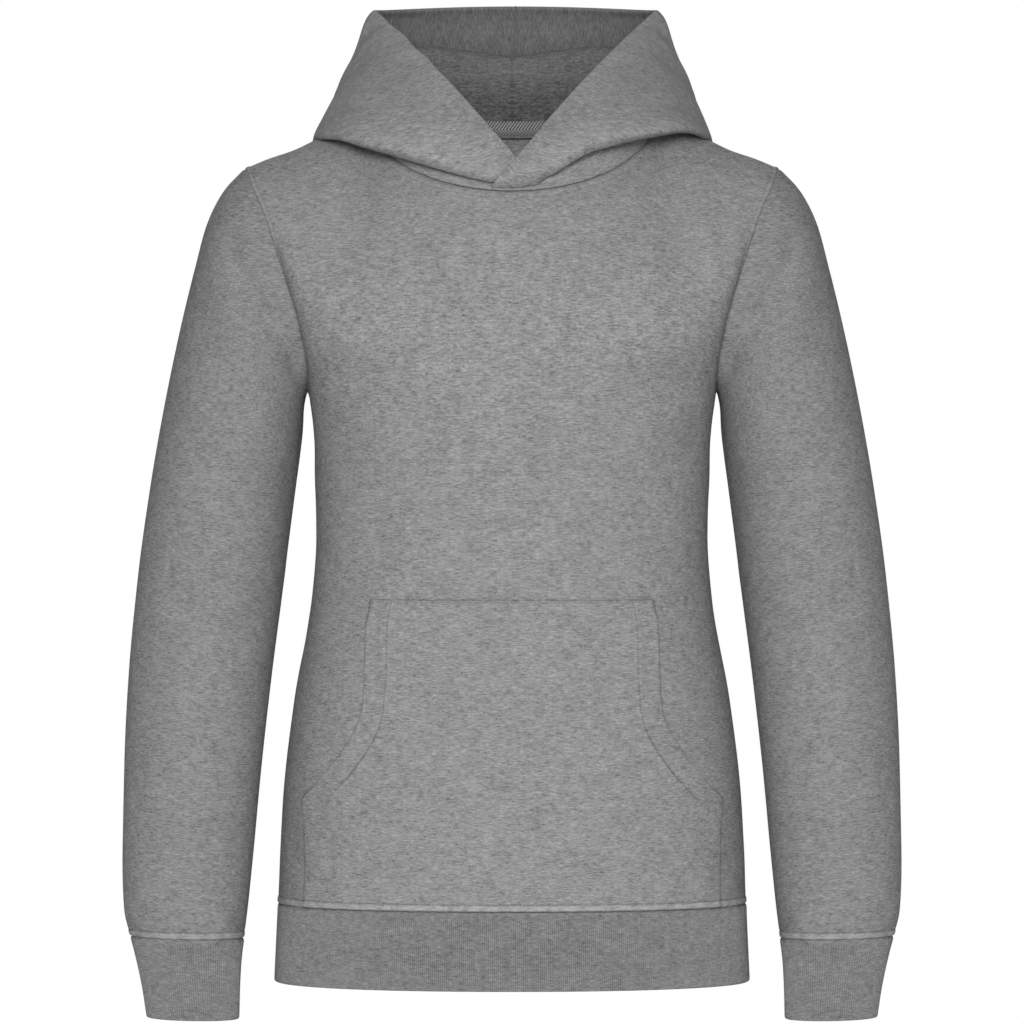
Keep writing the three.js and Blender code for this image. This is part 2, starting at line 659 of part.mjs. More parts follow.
// Tape over the neck seam, inside the back of the neck from shoulder to shoulder
function neckTape() {
  const rows = tapeRows.map(({ height, inset }) =>
    range(TRIM_STEPS.tape, (i) => blend(TAPE_START, 360 - TAPE_START, i / TRIM_STEPS.tape)).map((turn) => {
      const fold = turn <= 180 ? turn : 360 - turn;
      const seam = neckSeam(fold);
      const out = point(Math.sin(degrees(turn)), -Math.cos(degrees(turn)), 0);
      const x = turn <= 180 ? seam.x : -seam.x;
      const at = point(x, seam.y, seam.z + height - NECK.backHeight).addScaledVector(out, -inset);
      return { at, out };
    }),
  );
  return wallGeometry(rows, TAPE_WALL, false);
}

// Finishes: colour, roughness and the pieces that share it
const finishes = {
  jersey: new THREE.MeshStandardMaterial({ color: 0x8f8f90, roughness: 0.92, metalness: 0 }),
  rib: new THREE.MeshStandardMaterial({ color: 0x7f7f80, roughness: 0.9, metalness: 0 }),
  lining: new THREE.MeshStandardMaterial({ color: 0x858586, roughness: 0.94, metalness: 0 }),
  tape: new THREE.MeshStandardMaterial({ color: 0x6d6d6e, roughness: 0.85, metalness: 0 }),
};

const hoodie = new THREE.Group();

function addPiece(name, geometry, finish) {
  const mesh = new THREE.Mesh(geometry, finish.clone());
  mesh.name = name;
  hoodie.add(mesh);
}

addPiece("body_front", bodyPanel(-1), finishes.jersey);
addPiece("body_back", bodyPanel(1), finishes.jersey);
addPiece("hem_band", hemBand(), finishes.rib);
addPiece("pocket", pocket(), finishes.jersey);
addPiece("neck_tape", neckTape(), finishes.tape);
[
  ["right", 1],
  ["left", -1],
].forEach(([name, side]) => {
  addPiece("sleeve_" + name, sleeve(side), finishes.jersey);
  addPiece("cuff_" + name, cuff(side), finishes.rib);
  addPiece("hood_" + name, hoodHalf(side, 1), finishes.jersey);
  addPiece("hood_lining_" + name, hoodHalf(side, -1), finishes.lining);
});

export default hoodie;
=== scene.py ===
"""Looks of a child's pullover hoodie, filled out as if worn, with no wearer inside.

Every cloth piece is a closed shell on the shape of the solid that it replaces, with its creases,
seams and ribs in the mesh. Sizes are in millimetres until a mesh is made, +Z is up and the front
faces -Y. The origin is the middle of the neck, level with the high point of the shoulders.
"""

import logging
import math
from dataclasses import dataclass, field, replace
from enum import Enum
from typing import Callable

import bpy
import numpy as np
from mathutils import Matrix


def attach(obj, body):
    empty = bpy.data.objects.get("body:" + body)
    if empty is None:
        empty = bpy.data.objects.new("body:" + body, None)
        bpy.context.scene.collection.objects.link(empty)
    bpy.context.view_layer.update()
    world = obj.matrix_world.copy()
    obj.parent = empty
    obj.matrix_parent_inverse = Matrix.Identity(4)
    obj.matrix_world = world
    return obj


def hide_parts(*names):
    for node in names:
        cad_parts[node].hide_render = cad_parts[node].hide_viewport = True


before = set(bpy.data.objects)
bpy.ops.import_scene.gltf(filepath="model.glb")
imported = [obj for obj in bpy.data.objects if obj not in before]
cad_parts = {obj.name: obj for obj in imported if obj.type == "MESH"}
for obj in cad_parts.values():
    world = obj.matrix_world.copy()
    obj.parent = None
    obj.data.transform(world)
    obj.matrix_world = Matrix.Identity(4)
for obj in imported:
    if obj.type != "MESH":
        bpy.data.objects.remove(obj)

Array = np.ndarray
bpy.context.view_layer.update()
METRES = 0.001
BODY = "root"
PROBE = 2e-3  # step of a share over which a direction is taken

logging.basicConfig(level=logging.INFO, format="%(message)s")
log = logging.getLogger("hoodie")


class Facing(Enum):
    """Which way a body panel faces along Y."""

    FRONT = -1.0
    BACK = 1.0


class Side(Enum):
    """Side of the garment along X: the right one is on the right when seen from the front."""

    RIGHT = 1.0
    LEFT = -1.0


class Layer(Enum):
    """Layer of the hood."""

    OUTER = 1.0
    LINING = -1.0


# Sums on arrays


def blend(a: float | Array, b: float | Array, share: float | Array) -> Array:
    """Value between a and b: a + (b - a) * share."""
    return a + (b - a) * share


def smoothstep(low: float, high: float, value: Array) -> Array:
    """Share t of the way from low to high, eased as 3 t squared - 2 t cubed."""
    t = np.clip((value - low) / (high - low), 0, 1)
    return t * t * (3 - 2 * t)


def bell(value: Array, breadth: float) -> Array:
    """One at 0, falling off as exp of minus value over breadth, squared."""
    return np.exp(-((value / breadth) ** 2))


def signed_power(value: Array, exponent: float) -> Array:
    """The sign of value times its size to the exponent."""
    return np.sign(value) * np.abs(value) ** exponent


def xyz(x: float | Array, y: float | Array, z: float | Array) -> Array:
    """Points from their coordinates, broadcast against each other, on a new last axis."""
    return np.stack(np.broadcast_arrays(x, y, z), axis=-1).astype(float)


def unit(vectors: Array) -> Array:
    """Vectors over their own length."""
    return vectors / np.maximum(np.linalg.norm(vectors, axis=-1, keepdims=True), 1e-12)


def hermite(start: Array, start_way: Array, end: Array, end_way: Array, t: Array) -> Array:
    """Cubic from a start to an end.

    Args:
        start: where it starts.
        start_way: how it leaves the start.
        end: where it ends.
        end_way: how it arrives there.
        t: share of the way, from 0 to 1.

    Returns:
        The cubic at each share.
    """
    return (
        start * (1 + 2 * t) * (1 - t) ** 2
        + end * t * t * (3 - 2 * t)
        + start_way * t * (1 - t) ** 2
        - end_way * t * t * (1 - t)
    )


def lengths(points: Array, axis: int = 0) -> Array:
    """Distance run along one axis of a grid of points, summed from its first point.

    Args:
        points: line or grid of points.
        axis: axis that the run follows.

    Returns:
        Run at each point.
    """
    steps = np.linalg.norm(np.diff(points, axis=axis), axis=-1)
    run = np.cumsum(steps, axis=axis)
    pad = [(0, 0)] * run.ndim
    pad[axis] = (1, 0)
    return np.pad(run, pad)


def nearer_end(run: Array) -> Array:
    """Distance from the nearer end of each row."""
    return np.minimum(run, run[:, -1:] - run)


def from_middle(run: Array) -> Array:
    """Run from the middle column of each row."""
    return run - run[:, run.shape[1] // 2][:, None]


def right_half(points: Array) -> Array:
    """Points with those on the left mirrored to the right."""
    return points * (np.where(points[..., :1] < 0, -1, 1) * (1, 0, 0) + (0, 1, 1))


def grid_normals(points: Array, sign: float, ring: bool = False) -> Array:
    """Directions square to a grid: sign times the cross product of its column and row steps.

    Args:
        points: rows by columns by 3. A ring repeats its first column as its last.
        sign: turns the directions to the side that shows.
        ring: whether the columns close round.

    Returns:
        Unit vectors, one for each point.
    """
    if ring:
        around = np.concatenate([points[:, -2:-1], points, points[:, 1:2]], axis=1)
        across = (around[:, 2:] - around[:, :-2]) / 2
    else:
        across = np.gradient(points, axis=1)
    return sign * unit(np.cross(across, np.gradient(points, axis=0)))


def distance_to(points: Array, line: Array) -> Array:
    """Distance to a polyline: to the nearest spot on the two segments at its nearest corner.

    Args:
        points: grid of points.
        line: corners of the polyline.

    Returns:
        Distance of each point.
    """
    flat = points.reshape(-1, 3)
    near = np.argmin((line**2).sum(1)[None] - 2 * flat @ line.T, axis=1)
    best = np.full(len(flat), np.inf)
    for before in (1, 0):
        first = np.clip(near - before, 0, len(line) - 2)
        way = line[first + 1] - line[first]
        away = flat - line[first]
        along = np.clip((away * way).sum(1) / (way**2).sum(1), 0, 1)
        best = np.minimum(best, np.linalg.norm(away - along[:, None] * way, axis=1))
    return best.reshape(points.shape[:-1])


def beside_seam(margin: float, fine: float) -> Array:
    """Distances from a seam up to a margin: closest at the seam, where the cloth turns in."""
    close = np.array([0, 0.28, 0.6, 1.0, 1.6]) if margin else np.zeros(0)
    return np.concatenate([close, np.arange(1.6 + fine, margin, fine)])


def graded(length: float, step: float, fine: float, margins: tuple[float, float]) -> Array:
    """Places from 0 to 1 over a length: fine steps within a margin of each end and wider between.

    Args:
        length: whole length.
        step: step between the margins.
        fine: step within them.
        margins: how far from the start and from the end the fine steps go.

    Returns:
        An odd number of places.
    """
    start = beside_seam(margins[0], fine)
    end = length - beside_seam(margins[1], fine)[::-1]
    count = max(2, round((length - sum(margins)) / step))
    count += (len(start) + len(end) + count + 1) % 2
    low = margins[0] if len(start) else 0
    high = length - margins[1] if len(end) else length
    return np.concatenate([start, np.linspace(low, high, count), end]) / length


def smoothed(points: Array, share: Array, rounds: int) -> Array:
    """Draws points towards the mean of their neighbours up and down their column, over and over.

    Args:
        points: grid of points.
        share: how much of the way each point goes in one round.
        rounds: number of rounds.

    Returns:
        The smoothed grid.
    """
    share = share[1:-1, :, None] / 2
    points = points.copy()
    for _ in range(rounds):
        middle = (points[:-2] + points[2:]) / 2
        points[1:-1] += (middle - points[1:-1]) * share
    return points


@dataclass(frozen=True)
class Table:
    """Rows of sizes with named columns. The first column says where a row lies, and rises."""

    columns: str
    rows: tuple[tuple[float, ...], ...]

    def read(self, column: str, place: float | Array) -> Array:
        """Value of a column: a cubic through the rows whose slope at a row is the harmonic mean of
        the slopes on both sides, or 0 where they differ in sign.

        Args:
            column: name of the column.
            place: place along the first column.

        Returns:
            Value at each place.
        """
        table = np.array(self.rows, float)
        at, values = table[:, 0], table[:, self.columns.split().index(column)]
        rises = np.diff(values) / np.diff(at)
        before, after = np.append(rises[0], rises), np.append(rises, rises[-1])
        product = before * after
        total = np.where(before + after == 0, 1, before + after)
        slope = np.where(product > 0, 2 * product / total, 0)
        place = np.asarray(place, float)
        i = np.clip(np.searchsorted(at, place, side="left") - 1, 0, len(rises) - 1)
        span = at[i + 1] - at[i]
        t = (place - at[i]) / span
        return hermite(values[i], slope[i] * span, values[i + 1], slope[i + 1] * span, t)


@dataclass(frozen=True)
class Crease:
    """A soft trough between two places on a piece, or a ridge where its depth is under 0."""

    x0: float
    z0: float
    x1: float
    z1: float
    breadth: float
    depth: float
    bow: float = 0.0

    def press(self, x: Array, z: Array) -> Array:
        """How far the trough presses the cloth in at each point.

        Across the trough it is a bell with a low ridge on each side, bell(s) - 0.3 bell(|s| - 1.9),
        with s the distance over the breadth. Along it, it rises and dies away as
        (4 t (1 - t)) ** 1.2, and it bows sideways by 4 t (1 - t) of its bow.

        Args:
            x: places across the piece.
            z: places up the piece.

        Returns:
            Depth at each point.
        """
        way_x, way_z = self.x1 - self.x0, self.z1 - self.z0
        length = math.hypot(way_x, way_z)
        t = ((x - self.x0) * way_x + (z - self.z0) * way_z) / length**2
        arch = np.clip(4 * t * (1 - t), 0, 1)
        aside = ((x - self.x0) * way_z - (z - self.z0) * way_x) / length - self.bow * arch
        s = np.abs(aside) / self.breadth
        return self.depth * arch**1.2 * (bell(s, 1.0) - 0.3 * bell(s - 1.9, 0.8))


def pressed(creases: tuple[Crease, ...], x: Array, z: Array, both_sides: bool = False) -> Array:
    """Sum of what a group of creases presses in.

    Args:
        creases: the group.
        x: places across the piece.
        z: places up the piece.
        both_sides: whether each crease has a mirrored twin at -x.

    Returns:
        Depth at each point.
    """
    total = np.zeros(np.broadcast_shapes(np.shape(x), np.shape(z)))
    for crease in creases:
        total += crease.press(x, z)
        if both_sides:
            total += crease.press(-x, z)
    return total


# The garment's cut, nearly as the solids have it


@dataclass(frozen=True)
class BodyShape:
    """Front and back panels: sections up to the underarm and a yoke above it.

    The rib seam and the hem's fold lie 1.5 mm lower than on the solids.
    """

    hem_bottom: float = -550.6
    rib_seam: float = -501.0
    underarm: float = -172.5
    chest_heights: tuple[float, float] = (-112.0, -98.0)
    chest_depths: tuple[float, float] = (98.0, 91.0)
    neck_side: float = 92.0
    neck_front: float = -72.0
    neck_back: float = 58.0
    neck_front_height: float = -49.0
    neck_side_height: float = 4.0
    neck_back_height: float = -4.0
    shoulder_side: float = 171.5
    armhole_middle: float = -102.0
    armhole_half: float = 70.5
    armhole_depths: tuple[float, float] = (57.0, 55.0)
    shoulder_column: float = 0.48
    squareness: float = 2.2
    neck_way: tuple[float, float] = (36.0, 40.0)
    neck_rises: tuple[float, float] = (44.0, 38.0)
    shoulder_way: tuple[float, float, float] = (10.0, 72.0, 4.0)
    levels: Table = Table(
        "height side front back",
        (
            (-560, 152.4, 98, 95), (-499.5, 149.6, 100, 95), (-435, 146.6, 100, 92),
            (-371, 139.5, 98, 87), (-307, 129.2, 95, 82), (-262, 126.4, 94, 81),
            (-218, 127.2, 97, 86), (-172.5, 131.5, 102, 93),
        ),
    )
    ridge: Table = Table(
        "across height",
        ((92, 4), (108, -4), (126, -12.8), (140, -19.5), (156, -25), (171.5, -31.5)),
    )
    reach: Table = Table(
        "turn front back",
        (
            (0, 171.5, 171.5), (30, 167, 168.5), (60, 155.5, 159), (90, 143, 147.5),
            (120, 132.5, 136), (150, 128.8, 129.2), (180, 131.5, 131.5),
        ),
    )

    def neck_seam(self, turn: float | Array) -> Array:
        """Neck seam: a half ellipse in front and another behind, highest at the sides.

        Args:
            turn: degrees from the front, 0, past the side, 90, to the back, 180.

        Returns:
            Points of the seam.
        """
        ahead = np.cos(np.radians(turn))
        depth = np.where(ahead > 0, self.neck_front * ahead, -self.neck_back * ahead)
        end = np.where(ahead > 0, self.neck_front_height, self.neck_back_height)
        height = blend(self.neck_side_height, end, np.abs(ahead))
        return xyz(self.neck_side * np.sin(np.radians(turn)), depth, height)

    def armhole_seam(self, turn: float | Array) -> Array:
        """Armhole seam on the +X side: height as the cosine and depth as the sine of the turn.

        Args:
            turn: degrees from the shoulder, past the front, 90, and the underarm, 180.

        Returns:
            Points of the seam.
        """
        swing = np.radians(turn)
        to_front = np.sin(swing) >= 0
        fold = np.where(np.asarray(turn) <= 180, turn, 360 - np.asarray(turn))
        reach = np.where(to_front, self.reach.read("front", fold), self.reach.read("back", fold))
        depth = np.where(to_front, *self.armhole_depths)
        height = self.armhole_middle + self.armhole_half * np.cos(swing)
        return xyz(reach, -depth * np.sin(swing), height)

    def skirt(self, facing: float, across: float | Array, height: float | Array) -> Array:
        """Body below the underarm: half a superellipse, x as sine and y as cosine to the power of
        2 over the squareness.

        Args:
            facing: -1 for the front and 1 for the back.
            across: from one side seam, -1, to the other, 1.
            height: height.

        Returns:
            Points of the body.
        """
        turn = np.asarray(across) * np.pi / 2
        side = self.levels.read("side", height)
        deep = self.levels.read("front" if facing < 0 else "back", height)
        x = side * signed_power(np.sin(turn), 2 / self.squareness)
        y = facing * deep * signed_power(np.cos(turn), 2 / self.squareness)
        return xyz(x, y, height)

    def top_edge(self, facing: float, out: Array) -> Array:
        """Upper edge of a panel: the neck seam in the middle and the shoulder ridge outside it.

        Args:
            facing: -1 for the front and 1 for the back.
            out: from the middle, 0, to the armhole, 1.

        Returns:
            Points of the edge.
        """
        quarter = 90 * np.minimum(out / self.shoulder_column, 1)
        neck = self.neck_seam(quarter if facing < 0 else 180 - quarter)
        along = (out - self.shoulder_column) / (1 - self.shoulder_column)
        reach = blend(self.neck_side, self.shoulder_side, along)
        shoulder = xyz(reach, 0, self.ridge.read("height", reach))
        return np.where((out <= self.shoulder_column)[..., None], neck, shoulder)

    def yoke(self, facing: float, across: Array, up: Array) -> Array:
        """Body above the underarm.

        A cubic goes from the top of the skirt to the chest row and another from there to the upper
        edge. The outermost column is then drawn onto the armhole seam, and its neighbours follow
        by (out - 0.25) / 0.75 to the power of 1.6.

        Args:
            facing: -1 for the front and 1 for the back.
            across: from one armhole, -1, to the other, 1.
            up: from the underarm, 0, to the upper edge, 1.

        Returns:
            Points of the body.
        """
        out = np.abs(across)

        def hole(share: float | Array) -> Array:
            """Armhole seam by the share of its height."""
            return self.armhole_seam(180 * (1 - share) if facing < 0 else 180 * (1 + share))

        which = 0 if facing < 0 else 1
        beside = hole(0.5)
        turn = out * np.pi / 2
        chest = xyz(
            beside[..., 0] * np.sin(turn) ** 0.94,
            blend(facing * self.chest_depths[which], beside[..., 1], 1 - np.cos(turn) ** 0.8),
            blend(self.chest_heights[which], beside[..., 2], out * out),
        )

        def start(at: Array) -> tuple[Array, Array]:
            """Top of the skirt and how the cloth leaves it."""
            low = self.skirt(facing, at, self.underarm)
            return low, (low - self.skirt(facing, at, self.underarm - 5)) * 6.5

        def two_arcs(at: Array, middle: Array, top_way: Array) -> Array:
            """Two cubics that meet in the chest row.

            Args:
                at: places across.
                middle: points of the chest row.
                top_way: how the cloth arrives at the upper edge.

            Returns:
                Points of the body.
            """
            low, low_way = start(at)
            top = self.top_edge(facing, at)
            middle_way = (top - low) * 0.5
            t = up[..., None] * 2
            return np.where(
                t < 1,
                hermite(low, low_way, middle, middle_way, t),
                hermite(middle, middle_way, top, top_way, t - 1),
            )

        over = smoothstep(self.shoulder_column - 0.18, self.shoulder_column + 0.18, out)
        quarter = np.minimum(out / self.shoulder_column, 1) * np.pi / 2
        side, deep = self.neck_way
        into_neck = xyz(
            -side * np.sin(quarter), -facing * deep * np.cos(quarter), self.neck_rises[which]
        )
        side, deep, rise = self.shoulder_way
        over_shoulder = xyz(side, -facing * deep, rise)
        place = two_arcs(out, chest, blend(into_neck, over_shoulder, over[..., None]))
        drawn = two_arcs(np.ones_like(out), beside, over_shoulder)
        pull = np.maximum(0, (out - 0.25) / 0.75) ** 1.6
        place = place + (hole(up) - drawn) * pull[..., None]
        place[..., 0] *= np.where(across < 0, -1, 1)
        return place

    def point(self, facing: float, across: Array, rise: Array) -> Array:
        """Whole panel.

        Args:
            facing: -1 for the front and 1 for the back.
            across: from one side, -1, to the other, 1.
            rise: from the rib seam, 0, past the underarm, 1, to the top, 2.

        Returns:
            Points of the panel.
        """
        across, rise = np.broadcast_arrays(across, rise)
        height = blend(self.rib_seam, self.underarm, np.minimum(rise, 1))
        low = self.skirt(facing, across, height)
        high = self.yoke(facing, across, np.maximum(rise - 1, 0))
        return np.where((rise <= 1)[..., None], low, high)


SLEEVE_COLUMNS = "index out_x out_z in_x in_z deep middle"


@dataclass(frozen=True)
class SleeveShape:
    """Sleeve and cuff on the +X side, as oval sections with an outer and an inner point each."""

    body: BodyShape = BodyShape()
    cap_share: float = 0.3
    fold_end: float = 14.0
    sections: Table = Table(
        SLEEVE_COLUMNS,
        (
            (0, 171.5, -31.5, 131.5, -172.5, 56, -1),
            (1, 184.5, -45.5, 132.6, -180, 57.5, 0),
            (2, 195, -65.5, 133.2, -188, 58, 1),
            (3, 203.5, -96, 134, -200, 57.5, 2),
            (4, 212, -131, 135.6, -214, 56.5, 3),
            (5, 222, -180, 138.4, -235, 55, 3),
            (6, 231.5, -236, 142.4, -266, 53, 1),
            (7, 239.3, -293, 147.2, -306, 50, -3),
            (8, 244.3, -351, 153.2, -354, 47, -9),
            (9, 247, -411, 159.6, -412, 43.5, -15),
            (10, 248, -469, 164.8, -470, 40, -20),
            (11, 246.6, -503, 168.2, -503.5, 37, -23),
            (12, 242.6, -520.5, 170.6, -522, 33.5, -24),
        ),
    )
    cuff_sections: Table = Table(
        SLEEVE_COLUMNS,
        (
            (0, 242.6, -520.5, 170.6, -522, 33.5, -24),
            (1, 238.2, -538, 172.3, -539, 29.5, -25.5),
            (2, 235, -553, 173, -554, 27.5, -26.5),
            (3, 232, -572, 173.4, -573, 26, -28),
        ),
    )
    folds: Table = Table(
        "turn_a down_a turn_b down_b broad deep",
        (
            (62, 0.15, 128, 0.09, 0.045, 4), (300, 0.14, 232, 0.1, 0.045, 3.6),
            (150, 0.42, 75, 0.47, 0.035, 1.8), (215, 0.44, 285, 0.5, 0.035, 1.8),
        ),
    )

    @staticmethod
    def section(table: Table, turn: float | Array, down: float | Array) -> Array:
        """Point of an oval: its middle, plus half the way from its inner to its outer point times
        the cosine of the turn, minus its depth along Y times the sine.

        Args:
            table: the sections.
            turn: degrees from the outer point, past the front, 90.
            down: share of the way down the sections.

        Returns:
            Points of the ovals.
        """
        place = np.asarray(down) * (len(table.rows) - 1)
        column = {name: table.read(name, place) for name in table.columns.split()[1:]}
        swing = np.radians(turn)
        half_x = (column["out_x"] - column["in_x"]) / 2
        half_z = (column["out_z"] - column["in_z"]) / 2
        return xyz(
            (column["out_x"] + column["in_x"]) / 2 + half_x * np.cos(swing),
            column["middle"] - column["deep"] * np.sin(swing),
            (column["out_z"] + column["in_z"]) / 2 + half_z * np.cos(swing),
        )

    def point(self, turn: Array, down: Array) -> Array:
        """Sleeve surface: the ovals, drawn onto the armhole seam over the cap by the square of
        what is left of it, and pressed towards the middle by bells along the largest folds.

        Args:
            turn: degrees from the outer point, past the front, 90.
            down: from the armhole, 0, to the cuff, 1.

        Returns:
            Points of the sleeve.
        """
        turn, down = np.broadcast_arrays(turn % 360, down)
        place = self.section(self.sections, turn, down)
        cap = np.maximum(0, 1 - down / self.cap_share) ** 2
        seam = self.body.armhole_seam(turn) - self.section(self.sections, turn, 0)
        place = place + seam * cap[..., None]
        middle = self.section(self.sections, 0, down) + self.section(self.sections, 180, down)
        inward = unit(middle / 2 - place)
        for turn_a, down_a, turn_b, down_b, broad, deep in self.folds.rows:
            along = np.clip((turn - turn_a) / (turn_b - turn_a), 0, 1)
            aside = (down - blend(down_a, down_b, along)) / broad
            past = (turn - blend(turn_a, turn_b, along)) / self.fold_end
            place = place + inward * (deep * np.exp(-aside * aside - past * past))[..., None]
        return place


@dataclass(frozen=True)
class HoodShape:
    """Hood half on the +X side, as sections that turn round the neck from its front to its back.

    A section stands up from the neck seam to a crest, drapes down to a fold that rests on the
    shoulders and back, and swells up from there to the edge of the opening.
    """

    body: BodyShape = BodyShape()
    first_turn: float = -8.0
    past: float = 13.0
    start_height: float = -43.5
    start_depth: float = -74.0
    lap: float = 2.8
    corner: tuple[float, float, float] = (90.3, 50.0, 74.0)
    corner_turn: float = 120.0
    back: tuple[float, float] = (92.0, 80.0)
    bow: float = 2.6
    slant: float = 2.3
    lifts: Table = Table(
        "turn right left right_crest left_crest",
        (
            (-8, 0.5, 0, 0, 0),
            (0, 0.5, 0, -3.8, 0),
            (9, 1.2, 0.2, -5.2, 0),
            (15, 3, 0.5, 0, 0.5),
            (22, 8, 1, 6.5, 1),
            (30, 11.5, 1.5, 11, 1.5),
            (45, 12, 3, 12, 3),
            (60, 10, 3.5, 10, 3.5),
            (75, 5.5, 2.5, 5.5, 2.5),
            (90, 0, 0, 0, 0),
            (180, 0, 0, 0, 0),
        ),
    )
    lips: Table = Table(
        "turn lip",
        (
            (-8, 0), (30, 0.5), (60, 1), (90, 1.6), (112, 3),
            (124, 3.4), (138, 2.8), (160, 2), (180, 1.5),
        ),
    )
    sections: Table = Table(
        "turn crest_out crest_up crest_wide drape fold_out fold_up fold_wide rise swell",
        (
            (-8, 0.2, 2.4, 0.2, 0, 0.9, 2.2, 0.4, 0.6, 0.3),
            (0, 0.3, 6.5, 0.6, 0, 2.6, 4.6, 1, 1.6, 0.9),
            (15, 0.5, 11, 1.2, 0.2, 5.2, 6.2, 2.2, 2.2, 3.6),
            (30, 0.8, 15, 2, 0.5, 8.5, 7.2, 4, 3, 7),
            (60, 1, 17, 4.5, 2, 18, 2, 8, 1, 12),
            (90, 0, 20, 6, 3, 24, -9, 8, -5.5, 14),
            (120, -2, 44, 8, 6, 35, -35, 10, -3, 12),
            (150, 1, 52, 8, 8, 56, -102, 12, 3, 22),
            (180, 4, 48, 8, 11, 50, -132, 13, 3, 30),
        ),
    )

    def edge(self, turn: Array) -> Array:
        """Edge of the opening: from the crossover up to a corner beside the ear, bowed inwards most
        at five eighths of the way and drawn back in depth as the square of the rise, and then
        round the back of the opening.

        Args:
            turn: turns of the sections.

        Returns:
            A point for each section.
        """
        side, depth, height = self.corner
        up = (turn - self.first_turn) / (self.corner_turn - self.first_turn)
        bent = np.clip(up, 0, 1) ** 1.45
        straight = xyz(
            blend(-self.past, side, up) - self.bow * (4 * bent * (1 - bent)) ** 1.2,
            blend(self.start_depth, depth, up * up),
            blend(self.start_height, height, up),
        )
        share = np.clip((turn - self.corner_turn) / (180 - self.corner_turn), 0, 1)
        swing = share * np.pi / 2
        around = xyz(
            side * np.cos(swing),
            blend(depth, self.back[0], np.sin(swing) ** 1.5),
            blend(height, self.back[1], np.sin(swing) ** 2),
        )
        return np.where((up <= 1)[..., None], straight, around)

    def knots(self, turn: Array, side: Side) -> Array:
        """The eight points that each section passes through, from the neck seam to the edge.

        The fold and the crest in front lie higher on one side than on the other.

        Args:
            turn: turns of the sections.
            side: half of the hood.

        Returns:
            Sections by points by 3.
        """
        at = {name: self.sections.read(name, turn) for name in self.sections.columns.split()}
        at["fold_up"] = at["fold_up"] + self.lifts.read(side.name.lower(), turn)
        at["crest_up"] = at["crest_up"] + self.lifts.read(side.name.lower() + "_crest", turn)
        out = xyz(np.sin(np.radians(turn)), -np.cos(np.radians(turn)), 0)
        seam = self.body.neck_seam(turn)

        def place(away: Array, up: Array) -> Array:
            """Point away from the neck seam and above it."""
            return seam + out * away[..., None] + xyz(0, 0, up)

        crest = place(at["crest_out"], at["crest_up"])
        crest_end = place(at["crest_out"] + at["crest_wide"], at["crest_up"])
        fold = place(at["fold_out"], at["fold_up"])
        fold_end = place(at["fold_out"] + at["fold_wide"], at["fold_up"] + at["rise"])
        edge = self.edge(turn)
        drape = (crest_end + fold) / 2 + out * at["drape"][..., None]
        swell = (fold_end + edge) / 2 + out * at["swell"][..., None]
        return np.stack([seam, crest, crest_end, drape, fold, fold_end, swell, edge], axis=1)

    def point(self, turn: Array, along: Array, side: Side) -> Array:
        """Surface between lining and outer layer.

        Each stretch between two knots is a cubic, and the direction at a knot is the mean of its
        two chords, the shorter one weighing more.

        Args:
            turn: turns of the sections, one for each row.
            along: places along a section, one for each column, with the knots at whole numbers.
            side: half of the hood.

        Returns:
            Rows by columns by 3.
        """
        knots = self.knots(turn, side)
        chords = np.diff(knots, axis=1)
        spans = np.maximum(np.linalg.norm(chords, axis=-1, keepdims=True), 0.05)
        slopes = chords / spans
        share = spans[:, :-1] / (spans[:, :-1] + spans[:, 1:])
        inner = blend(slopes[:, :-1], slopes[:, 1:], share)
        ways = np.concatenate([slopes[:, :1], inner, slopes[:, -1:]], axis=1)
        i = np.minimum(along.astype(int), chords.shape[1] - 1)
        t = (along - i)[None, :, None]
        return hermite(
            knots[:, i], ways[:, i] * spans[:, i], knots[:, i + 1], ways[:, i + 1] * spans[:, i], t
        )


# Cloth as closed shells


